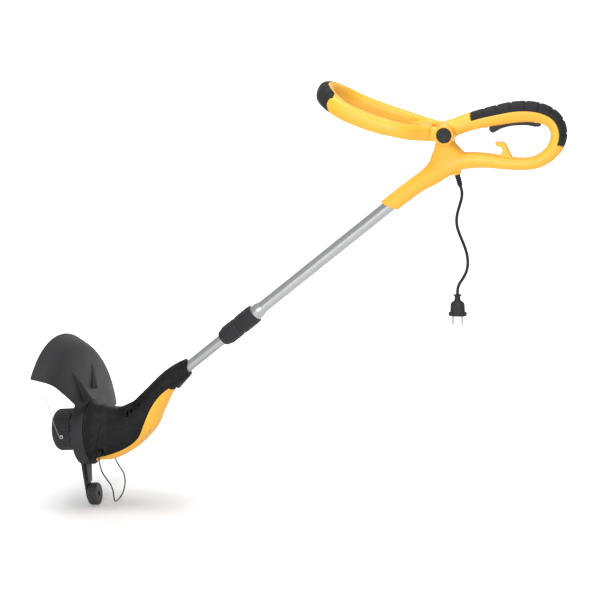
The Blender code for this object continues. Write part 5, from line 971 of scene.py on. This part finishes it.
# %% [markdown]
# ## The shaft
# Two satin aluminium tubes slide in each other. A moulded collar is fixed on the wide end of the upper tube,
# and a ribbed nut turns on it and squeezes a split collet onto the lower tube.

# %% Tubes, collar and nut
FLARE_START, FLARE_END, TUBE_END = 0.342, 0.354, 0.368
COLLAR_START, COLLAR_END = 0.365, 0.408
NUT_START, NUT_END = COLLAR_END + 0.0006, COLLAR_END + 0.048
upper = turned("upper", [
    (0.0125, -0.100), (0.0125, FLARE_START), (0.0131, FLARE_START + 0.003), (0.0152, FLARE_END - 0.003),
    (0.0158, FLARE_END), (0.0158, TUBE_END), (0.0146, TUBE_END), (0.0146, FLARE_END), (0.0113, FLARE_START),
    (0.0113, -0.100)], SHAFT_FRAME, 96)
place_piece(upper, "upper_tube_skin", ALUMINIUM, "handle", ["upper_tube"], 30.0)
lower = turned("lower", [(0.0110, 0.085), (0.0110, 0.604), (0.0098, 0.604), (0.0098, 0.085)], SHAFT_FRAME, 96)
place_piece(lower, "lower_tube_skin", ALUMINIUM, "lower_shaft", ["lower_tube"], 30.0)
collar = turned("collar", [
    (0.0176, COLLAR_START), (0.0188, COLLAR_START + 0.0004), (0.0196, COLLAR_START + 0.0014),
    (0.0198, COLLAR_START + 0.0026), (0.0198, COLLAR_END - 0.0012), (0.0192, COLLAR_END - 0.0002), (0.0180, COLLAR_END),
    (0.0163, COLLAR_END), (0.0163, 0.440), (0.0141, 0.440), (0.0141, 0.371), (0.0161, 0.3683), (0.0161, COLLAR_START)],
    SHAFT_FRAME, 96)
ribs = ring_of("ribs", round_rod(0.034, 0.0009), 26, 0.01935, BLACK, SHAFT_FRAME @ Matrix.Translation((0, 0, 0.3695)))
place_piece(together("clamp_collar", [collar, ribs]), "clamp_collar_skin", BLACK, "handle",
            ["clamp_collar"], 40.0)
nut = turned("nut", [
    (0.0180, NUT_START), (0.0188, NUT_START + 0.0006), (0.0190, NUT_START + 0.0030), (0.0190, NUT_END - 0.0135),
    (0.0186, NUT_END - 0.0115), (0.0172, NUT_END - 0.0055), (0.0164, NUT_END - 0.0025), (0.0152, NUT_END - 0.0006),
    (0.0144, NUT_END), (0.0116, NUT_END), (0.0116, NUT_END - 0.003), (0.0141, NUT_END - 0.0065), (0.0141, 0.4412),
    (0.0166, 0.4406), (0.0166, NUT_START)], SHAFT_FRAME, 96)
ribs = ring_of("ribs", round_rod(0.032, 0.0013), 16, 0.0186, BLACK,
               SHAFT_FRAME @ Matrix.Translation((0, 0, NUT_START + 0.0035)))
place_piece(together("clamp_nut", [nut, ribs]), "clamp_nut_skin", BLACK, "clamp_nut", ["clamp_nut"], 40.0)

# %% [markdown]
# ## The motor head
# A swan-necked shell grows out of the shaft's mouth and opens against the round guard. The real shell is two black
# halves with a yellow cover under the motor. Its skin is lofted along the same stations as the frame's solid.

# %% Sizes of the head
MOUTH = shaft_point(0.556)
SEAT_DROP, SEAT_RADIUS, HOUSING_WALL = 0.0075, 0.0690, 0.0030
MOUTH_RADIUS, MOUTH_SWELL, MOUTH_LIFT, MOUTH_LEAN = 0.0178, 0.0024, 0.0025, radians(24.0)
HOUSING_ROUTE = [
    # from the mouth: x, z, half height, half width
    (-0.2010, -0.1525, 0.0595, 0.0580), (-0.1800, -0.1513, 0.0583, 0.0520), (-0.1575, -0.1459, 0.0525, 0.0485),
    (-0.1323, -0.1346, 0.0457, 0.0444), (-0.1029, -0.1113, 0.0390, 0.0385), (-0.0822, -0.0832, 0.0315, 0.0318),
    (-0.0473, -0.0362, 0.0222, 0.0252),
]
COVER_LINE = [
    (-0.2065, -0.2260), (-0.2030, -0.2060), (-0.1964, -0.1985), (-0.1746, -0.1917), (-0.1473, -0.1814),
    (-0.1236, -0.1676), (-0.1055, -0.1497), (-0.0932, -0.1231), (-0.0810, -0.0940), (-0.0694, -0.0738),
    (-0.0553, -0.0569), (-0.0388, -0.0433),
]
VENTS = [(-0.1285, -0.1029), (-0.1198, -0.0965), (-0.1118, -0.0885), (-0.1045, -0.0824)]
WIRE_PIVOT = MOUTH + Vector((-0.1840, 0.0, -0.1798))
RELEASE_START = MOUTH + Vector((0.0020, 0.0, -0.0178))
RELEASE_END = MOUTH + Vector((-0.0240, 0.0, -0.0468))
GUARD_SCREWS = [(-0.0420, -0.0060), (0.0420, -0.0060)]


def head_bar(name, start, end, across, up, radius, steps=32):
    """A bar along the spool's axis."""
    return bar(name, head_point(start, across, up), head_point(end, across, up), radius, steps)


# %% The shell's skin
def housing(shrink=0.0, steps=8, sides=80):
    """The shell's outside, or its hollow when a wall is taken off."""
    seat = HEAD_SEAT - HEAD_UP * SEAT_DROP + SPOOL_AXIS * GAP
    inside = shaft_point(0.582) + Vector((-sin(SHAFT_SLOPE), 0.0, cos(SHAFT_SLOPE))) * MOUTH_LIFT
    route = [(seat.x, seat.z, SEAT_RADIUS, SEAT_RADIUS)]
    route += [(MOUTH.x + x, MOUTH.z + z, height, width) for x, z, height, width in HOUSING_ROUTE]
    route += [(inside.x, inside.z, MOUTH_RADIUS + MOUTH_SWELL, MOUTH_RADIUS + MOUTH_SWELL),
              (MOUTH.x, MOUTH.z, MOUTH_RADIUS, MOUTH_RADIUS)]
    run = smooth_run(route, steps)
    rings = []
    for k, (x, z, height, width) in enumerate(run):
        if shrink > 0.0 and k > len(run) - 3 * steps - 1:
            break
        before, after = run[max(k - 1, 0)], run[min(k + 1, len(run) - 1)]
        along = Vector((after[0] - before[0], 0.0, after[1] - before[1])).normalized()
        if k == 0:
            along = SPOOL_AXIS
        if k == len(run) - 1:
            rise = SHAFT_SLOPE - MOUTH_LEAN
            along = Vector((cos(rise), 0.0, sin(rise)))
        centre = Vector((x, 0.0, z)) + (along * shrink if k == 0 else Vector())
        up = Vector((-along.z, 0.0, along.x))
        rings.append(rounded_section(centre, up, SIDE, height - shrink, width - shrink, sides, 2.15))
    return loft("housing", rings)


def cover_space(grow=0.0):
    """The space below the line where the yellow cover parts from the black shell."""
    line = smooth_run([(MOUTH.x + x, MOUTH.z + z) for x, z in COVER_LINE], 6)
    outline = [(x - grow * 0.7, z + grow * 0.7) for x, z in line]
    (first_x, first_z), (last_x, last_z) = line[0], line[-1]
    outline += [(last_x + 0.026, last_z - 0.018), (last_x + 0.026, first_z - 0.12),
                (first_x - 0.12, first_z - 0.12), (first_x - 0.12, first_z + grow)]
    return slab("cover_space", outline, -0.12, 0.12)


def sink_surface(thing, depth_at):
    """Push a skin in along its normals by a depth that depends on the place."""
    bm = bmesh.new()
    bm.from_mesh(thing.data)
    bm.normal_update()
    moves = [(vert, vert.normal * depth_at(vert.co, vert.normal)) for vert in bm.verts]
    for vert, move in moves:
        vert.co -= move
    bm.to_mesh(thing.data)
    bm.free()
    return thing


# %% [markdown]
# The side of the real shell is styled: a raised band follows the seat of the guard and ends in a crease, and a
# long soft ledge runs from the crease up toward the neck. Both are less than a millimetre deep.

# %% Crease and ledge
LEDGE = smooth_run([(-0.8560, -0.6745), (-0.8454, -0.6731), (-0.8225, -0.6693), (-0.7851, -0.6564),
                    (-0.7565, -0.6390), (-0.7350, -0.6150)], 6)


def ledge_height(x):
    """The ledge's height at a distance along X."""
    for (a, low), (b, high) in zip(LEDGE, LEDGE[1:]):
        if a <= x <= b:
            return low + (high - low) * (x - a) / (b - a)
    return LEDGE[0][1] if x < LEDGE[0][0] else LEDGE[-1][1]


def styling_depth(place, normal):
    """How far the side is sunk behind the crease and below the ledge."""
    sideways = ramp(abs(normal.y), 0.45, 0.80)
    crease = place.x + 0.8500 - 0.212 * (place.z + 0.6468)
    behind = ramp(crease, -0.0006, 0.0010) * (1.0 - ramp(crease, 0.006, 0.045))
    reach = ramp(place.z, -0.7250, -0.7000) * (1.0 - ramp(place.z, -0.6560, -0.6380))
    below = ledge_height(place.x) - place.z
    ledge = ramp(below, -0.0006, 0.0012) * (1.0 - ramp(below, 0.002, 0.024))
    ends = ramp(crease, 0.0, 0.010) * (1.0 - ramp(place.x, -0.775, -0.735))
    return sideways * (0.0012 * behind * reach + 0.0008 * ledge * ends)


shell = housing()
cut(shell, [bar("boss", WIRE_PIVOT + SIDE * sign * 0.042, WIRE_PIVOT + SIDE * sign * 0.0500, 0.0104, 64)
            for sign in (-1.0, 1.0)], "UNION")
soften(shell, 0.0013, 5)
vents = [cuboid("vent", MOUTH + Vector((x, sign * 0.042, low + 0.0170)), Vector((0.0026, 0.021, 0.0200)))
         for x, low in VENTS for sign in (-1.0, 1.0)]
print("shell:", len(shell.data.polygons), "faces")

# %% [markdown]
# The yellow cover is cut from the same skin by the line that parts them, and carries three cooling slots.

# %% Cover
cover = twin(shell, "lower_cover")
slot_first, slot_step = MOUTH + Vector((-0.1034, 0.0, -0.1665)), Vector((0.0095, 0.0, 0.0091))
cut(cover, [cover_space()], "INTERSECT")
cut(cover, [housing(HOUSING_WALL, 3, 24)]
    + [cuboid("slot", slot_first + slot_step * k, Vector((0.0024, 0.025, 0.02))) for k in range(3)])
soften(cover, 0.0010, 1)
place_piece(cover, "lower_cover_skin", YELLOW, "head", ["lower_cover"], 180.0)

# %% The release and its room
def release_outline(teeth, extra=0.0, grow=0.0):
    """The side view of the release, with rounded teeth, or of the room it slides in."""
    run = RELEASE_END - RELEASE_START
    along = run.normalized()
    inward = Vector((along.z, 0.0, -along.x))
    points = []
    if teeth:
        for k in range(61):
            wave = abs(sin(pi * teeth * k / 60)) ** 0.7
            points.append(RELEASE_START + along * (run.length * k / 60) + inward * (0.0002 - 0.0032 * wave))
    else:
        points += [RELEASE_START + along * share - inward * 0.008 for share in (-grow, run.length + extra + grow)]
    points += [RELEASE_START + along * share + inward * (0.0032 + grow)
               for share in (run.length + extra + grow, -grow)]
    return [(point.x, point.z) for point in points]


release = slab("release", release_outline(5), -0.0060, 0.0060)
soften(release, 0.0005, 2)
place_piece(release, "release_slide_skin", GREY, "release_slide", ["release_slide"], 50.0)

# %% Bores, vents and halves of the shell
hollow = housing(HOUSING_WALL, 3, 24)
keeps = [turned("bearing_seat", [(0.0, 0.0), (0.019, 0.0), (0.019, 0.0157), (0.0, 0.0157)], SPOOL_FRAME, 48),
         turned("motor_web", [(0.0288, 0.040), (0.090, 0.040), (0.090, 0.043), (0.0288, 0.043)], SPOOL_FRAME, 64)]
keeps += [head_bar("boss", 0.0, 0.015, across, up, 0.005) for across, up in GUARD_SCREWS]
cut(hollow, keeps)
tools = [
    hollow,
    bar("mouth_bore", shaft_point(0.536), shaft_point(0.616), 0.0115, 64),
    bar("ring_room", shaft_point(0.5874), shaft_point(0.6046), 0.0146, 64),
    head_bar("spool_hole", -0.01, 0.017, 0.0, 0.0, 0.0065),
    head_bar("bearing_room", 0.0087, 0.026, 0.0, 0.0, 0.0113, 48),
    bar("wire_hole", WIRE_PIVOT - SIDE * 0.1, WIRE_PIVOT + SIDE * 0.1, 0.0017, 24),
    slab("release_room", release_outline(0, 0.0033, GAP), -0.0063, 0.0063),
    cover_space(0.0008),
]
tools += [head_bar("screw_bore", -0.01, 0.0123, across, up, 0.0023, 24) for across, up in GUARD_SCREWS]
tools += [bar("wire_room", WIRE_PIVOT + SIDE * sign * 0.0458, WIRE_PIVOT + SIDE * sign * 0.0700, 0.0060, 48)
          for sign in (-1.0, 1.0)]
cut(shell, vents + tools)
for name, sign in (("motor_housing_near", -1.0), ("motor_housing_far", 1.0)):
    half_shell = twin(shell, name)
    cut(half_shell, [cuboid("keep", HEAD_SEAT + SIDE * sign * (0.12 + GAP / 2), Vector((0.48, 0.12, 0.48)))],
        "INTERSECT")
    soften(half_shell, 0.00125, 1)
    sink_surface(half_shell, styling_depth)
    place_piece(half_shell, name + "_skin", BLACK, "head", [name], 180.0)
bpy.data.objects.remove(shell, do_unlink=True)

# %% [markdown]
# ## The guard
# A flared shell over the upper part of the sweep, with a skirt that curves down toward the ground side, two
# stiffening fins, a collar round the spool and the pad of the line cutter. One voxel skin rounds all the joints.

# %% Guard
GUARD_FROM, GUARD_TO, GUARD_LEAN = radians(-42.7), radians(88.6), 0.136
GUARD_PROFILE = [
    # along the spool axis, radius
    (-0.0015, 0.0575), (-0.0020, 0.0640), (-0.0040, 0.0950), (-0.0085, 0.1300), (-0.0142, 0.1600),
    (-0.0195, 0.1755), (-0.0299, 0.1875), (-0.0449, 0.1980), (-0.0568, 0.2056),
]
FINS = [
    # angle, radius of the foot, radius of the tip, height of the foot
    (radians(-16.5), 0.0680, 0.146, 0.020), (radians(26.0), 0.0860, 0.142, 0.011),
]


def guard_point(along, radius, angle):
    """A point of the guard from its profile and its angle round the spool axis; the far side leans back."""
    lean = GUARD_LEAN * max(radius - SEAT_RADIUS, 0.0)
    return head_point(along + lean * sin(angle), radius * sin(angle), radius * cos(angle))


def profile_at(radius):
    """Where the guard's profile stands along the axis at a radius."""
    for (a, first), (b, second) in zip(GUARD_PROFILE, GUARD_PROFILE[1:]):
        if first <= radius <= second:
            return a + (b - a) * (radius - first) / (second - first)
    return GUARD_PROFILE[-1][0]


def blade_frame():
    """The line cutter's frame on the skirt: local X down the skirt, local Z out of the shell."""
    angle, slope = radians(24.0), radians(35.0)
    radial = guard_point(0.0, 1.0, angle) - HEAD_SEAT
    down = (-cos(slope) * SPOOL_AXIS + sin(slope) * radial).normalized()
    out = (sin(slope) * SPOOL_AXIS + cos(slope) * radial).normalized()
    return (Matrix.Translation(guard_point(-0.0385, 0.1935, angle))
            @ Matrix((down, out.cross(down), out)).transposed().to_4x4())


profile = smooth_run(GUARD_PROFILE, 8)
rings = []
for k in range(131):
    angle = GUARD_FROM + (GUARD_TO - GUARD_FROM) * k / 130
    inside = []
    for j, (along, radius) in enumerate(profile):
        before, after = profile[max(j - 1, 0)], profile[min(j + 1, len(profile) - 1)]
        tangent = Vector((after[0] - before[0], after[1] - before[1])).normalized()
        inside.append((along - tangent.y * 0.0026, radius + tangent.x * 0.0026))
    rings.append([guard_point(along, radius, angle) for along, radius in profile + inside[::-1]])
guard = loft("guard", rings)
collar = turned("collar", [
    (0.0200, -0.0048), (0.0655, -0.0048), (0.0655, -0.0270), (0.0678, -0.0270), (SEAT_RADIUS, -0.0258),
    (SEAT_RADIUS, -0.0008), (0.0682, 0.0), (0.0200, 0.0)], frame_along(head_point(0.0, 0.0, -SEAT_DROP), SPOOL_AXIS), 128)
fins = []
for angle, foot, tip, height in FINS:
    across = head_point(0.0, cos(angle), -sin(angle)) - HEAD_SEAT
    ends = []
    for share in [k / 12 for k in range(13)]:
        radius = foot + (tip - foot) * share
        half, rise = 0.0036 + (0.0012 - 0.0036) * share, height + (0.0008 - height) * share ** 0.85
        along = profile_at(radius)
        low, high = guard_point(along - 0.0012, radius, angle), guard_point(along + rise, radius, angle)
        ends.append([low - across * half, high - across * half * 0.6, high + across * half * 0.6, low + across * half])
    fins.append(loft("fin", ends))
pad = cuboid("pad", Vector((0.0, 0.0, -0.0045)), Vector((0.0110, 0.0150, 0.0025)), blade_frame())
cut(guard, [collar] + fins + [pad], "UNION")
soften(guard, 0.0012, 2)
cut(guard, [head_bar("bore", -0.02, 0.01, across, up, 0.0023, 24) for across, up in GUARD_SCREWS]
    + [bar("bore", blade_frame() @ Vector((0.0, 0.0, -0.0040)), blade_frame() @ Vector((0.0, 0.0, -0.0120)), 0.0017, 24)])
place_piece(guard, "guard_skin", BLACK, "head", ["guard"], 40.0)

# %% [markdown]
# ## The spool
# A windowed base under a ribbed cap. The line leaves through a plated eyelet on the near side and curls upward.

# %% Spool base and cap
SPOOL_RADIUS, SPOOL_START, SPOOL_SPLIT, SPOOL_END = 0.0450, -0.0266, -0.0391, -0.0820
base = turned("base", [
    (0.0043, SPOOL_START), (0.0405, SPOOL_START), (0.0432, SPOOL_START - 0.0006), (0.0446, SPOOL_START - 0.0018),
    (SPOOL_RADIUS, SPOOL_START - 0.0034), (SPOOL_RADIUS, SPOOL_SPLIT + 0.0006), (SPOOL_RADIUS - 0.0006, SPOOL_SPLIT),
    (0.0424, SPOOL_SPLIT), (0.0424, SPOOL_START - 0.0035), (0.0110, SPOOL_START - 0.0035), (0.0110, -0.0580),
    (0.0043, -0.0580)], SPOOL_FRAME, 128)
cut(base, [cuboid("window", Vector((SPOOL_START - 0.0082, 0.0, SPOOL_RADIUS)), Vector((0.0026, 0.0070, 0.005)),
                  HEAD_FRAME @ Matrix.Rotation(2.0 * pi * k / 10, 4, "X")) for k in range(10)])
place_piece(base, "spool_base_skin", BLACK, "spool", ["spool_base"], 40.0)

top = SPOOL_SPLIT - GAP
cap = turned("cap", [
    (0.0434, top), (0.0440, top - 0.0005), (0.0440, SPOOL_END + 0.0100), (0.0434, SPOOL_END + 0.0078),
    (0.0420, SPOOL_END + 0.0052), (0.0400, SPOOL_END + 0.0030), (0.0372, SPOOL_END + 0.0014),
    (0.0330, SPOOL_END + 0.0004), (0.0240, SPOOL_END), (0.0186, SPOOL_END), (0.0183, SPOOL_END + 0.0003),
    (0.0183, SPOOL_END + 0.0025), (0.0350, SPOOL_END + 0.0035), (0.0414, SPOOL_END + 0.0075), (0.0416, top)],
    SPOOL_FRAME, 128)
ribs = ring_of("ribs", round_rod(0.0332, 0.0011), 36, SPOOL_RADIUS - 0.0012, BLACK,
               SPOOL_FRAME @ Matrix.Translation((0.0, 0.0, SPOOL_END + 0.0090)))
eyelet_at = head_point(-0.0562, -SPOOL_RADIUS, -0.0030)
cut(cap, [bar("bore", eyelet_at - SIDE * 0.004, eyelet_at + SIDE * 0.007, 0.0034, 32)])
place_piece(together("cap", [cap, ribs]), "spool_cap_skin", BLACK, "spool", ["spool_cap"], 40.0)

# %% Bump button, eyelet and free line
tip = SPOOL_END - 0.0045
button = turned("bump", [
    (0.0, tip), (0.0060, tip + 0.0001), (0.0105, tip + 0.0005), (0.0142, tip + 0.0013), (0.0168, tip + 0.0026),
    (0.0180, tip + 0.0042), (0.0180, SPOOL_END + 0.0028), (0.0210, SPOOL_END + 0.0040), (0.0210, SPOOL_END + 0.0056),
    (0.0095, SPOOL_END + 0.0056), (0.0095, SPOOL_END + 0.0130), (0.0080, SPOOL_END + 0.0130),
    (0.0080, SPOOL_END + 0.0050), (0.0, SPOOL_END + 0.0050)], SPOOL_FRAME, 96)
place_piece(button, "bump_button_skin", BLACK, "bump_button", ["bump_button"], 40.0)
eyelet = turned("eyelet", [
    (0.0013, -0.0040), (0.0030, -0.0040), (0.0030, 0.0002), (0.0042, 0.0003), (0.0046, 0.0009), (0.0044, 0.0017),
    (0.0037, 0.0023), (0.0028, 0.0024), (0.0020, 0.0020), (0.0014, 0.0010)], frame_along(eyelet_at, -SIDE), 48)
place_piece(eyelet, "line_eyelet_skin", STEEL, "spool", ["line_eyelet"], 50.0)


def round_wire(name, points, radius, sides):
    """A round wire through given points, as a mesh."""
    path = bpy.data.curves.new(name, "CURVE")
    path.dimensions = "3D"
    run = path.splines.new("POLY")
    run.points.add(len(points) - 1)
    for slot, point in zip(run.points, points):
        slot.co = (*point, 1.0)
    path.bevel_depth = radius
    path.bevel_resolution = sides
    path.use_fill_caps = True
    thing = bpy.data.objects.new(name, path)
    bpy.context.scene.collection.objects.link(thing)
    bpy.context.view_layer.update()
    mesh = bpy.data.meshes.new_from_object(thing.evaluated_get(bpy.context.evaluated_depsgraph_get()))
    bpy.data.objects.remove(thing, do_unlink=True)
    bm = bmesh.new()
    bm.from_mesh(mesh)
    bmesh.ops.remove_doubles(bm, verts=bm.verts[:], dist=0.000002)
    return object_from(bm, name)


line_end = MOUTH + Vector((-0.3036, -0.0480, -0.0656))
start, bend = eyelet_at + SIDE * 0.0020, eyelet_at - SIDE * 0.0100
route = [start, start.lerp(bend, 0.5), bend, bend.lerp(line_end, 0.35) - SIDE * 0.004,
         bend.lerp(line_end, 0.7) - SIDE * 0.003, line_end]
line = round_wire("line", smooth_run([tuple(point) for point in route], 8), 0.0008, 3)
place_piece(line, "cutting_line_strand", LINE, "spool", ["cutting_line"], 60.0)

# %% [markdown]
# ## The edging wheel
# A narrow bracket runs down behind the guard and carries the wheel on a short axle. The tread has three round
# ribs, and small cuts cross them at even steps.

# %% Bracket
drop = -0.1460
outline = [(0.0190, -0.0580), (0.0180, -0.0800)]
outline += [(0.0130 * cos(-pi * k / 24), drop + 0.0130 * sin(-pi * k / 24)) for k in range(25)]
outline += [(-0.0180, -0.0800), (-0.0190, -0.0580)]
bracket_frame = HEAD_FRAME @ Matrix(((0.0, 1.0, 0.0), (-1.0, 0.0, 0.0), (0.0, 0.0, 1.0))).to_4x4()
bracket = slab("bracket", outline, -0.0318, -0.0273, bracket_frame)
web_top = -SEAT_DROP - SEAT_RADIUS - 0.0004
web = slab("web", [(-0.0271, web_top), (-0.0143, web_top), (-0.0195, web_top - 0.041), (-0.0271, web_top - 0.041)],
           -0.0030, 0.0030, HEAD_FRAME)
soften(web, 0.0006, 2)
soften(bracket, 0.0007, 2)
cut(bracket, [head_bar("bore", -0.0308, 0.0, 0.0, drop, 0.0038, 32)])
place_piece(bracket, "wheel_bracket_skin", BLACK, "head", ["wheel_bracket"], 60.0)
place_piece(web, "bracket_web_skin", PALE_GREY, "head", [], 60.0)

# %% Wheel
def tread(radius, height, angle):
    """Small cuts across the tread."""
    if radius < 0.0228:
        return radius
    return radius - 0.0007 * (1.0 - ramp(abs(((angle / (2.0 * pi) * 20) % 1.0) - 0.5), 0.06, 0.16))


wheel_frame = frame_along(head_point(-0.0166, 0.0, drop), SPOOL_AXIS)
run = [(0.0041, -0.0100), (0.0205, -0.0100), (0.0218, -0.0098), (0.0228, -0.0090), (0.0233, -0.0080)]
for middle_height in (-0.0052, 0.0, 0.0052):
    run += [(0.0233, middle_height - 0.0020), (0.0239, middle_height - 0.0014), (0.0240, middle_height),
            (0.0239, middle_height + 0.0014), (0.0233, middle_height + 0.0020)]
run += [(0.0233, 0.0080), (0.0228, 0.0090), (0.0218, 0.0097), (0.0208, 0.0100), (0.0200, 0.0098), (0.0190, 0.0100),
        (0.0062, 0.0100), (0.0058, 0.0096), (0.0058, 0.0045), (0.0041, 0.0045)]
place_piece(turned("wheel", run, wheel_frame, 240, tread), "wheel_tread", GREY, "wheel", ["wheel"], 40.0)

# %% [markdown]
# ## The wire plant guard
# A bent wire loop that swings on the two bosses of the shell.

# %% Wire loop
WIRE_LEG = [
    (-0.1840, 0.0530, -0.1798), (-0.1885, 0.0515, -0.1898), (-0.1900, 0.0475, -0.2058), (-0.1865, 0.0450, -0.2258),
    (-0.1780, 0.0435, -0.2418), (-0.1695, 0.0425, -0.2548), (-0.1655, 0.0410, -0.2688), (-0.1655, 0.0360, -0.2858),
    (-0.1675, 0.0220, -0.2988), (-0.1685, 0.0000, -0.3023),
]
leg = [(MOUTH.x + x, -y, MOUTH.z + z) for x, y, z in WIRE_LEG]
path = smooth_run(leg + [(x, -y, z) for x, y, z in leg[-2::-1]], 8)
path = [Vector(point) for point in path if point[2] < WIRE_PIVOT.z - 0.0012]
ends = [[Vector((WIRE_PIVOT.x, sign * y, WIRE_PIVOT.z)) for y in (0.0450, 0.0508, 0.0522)] for sign in (-1.0, 1.0)]
loop = round_wire("wire", ends[0] + path + ends[1][::-1], 0.0014, 4)
place_piece(loop, "wire_guard_loop", WIRE, "wire_guard", ["wire_guard"], 60.0)
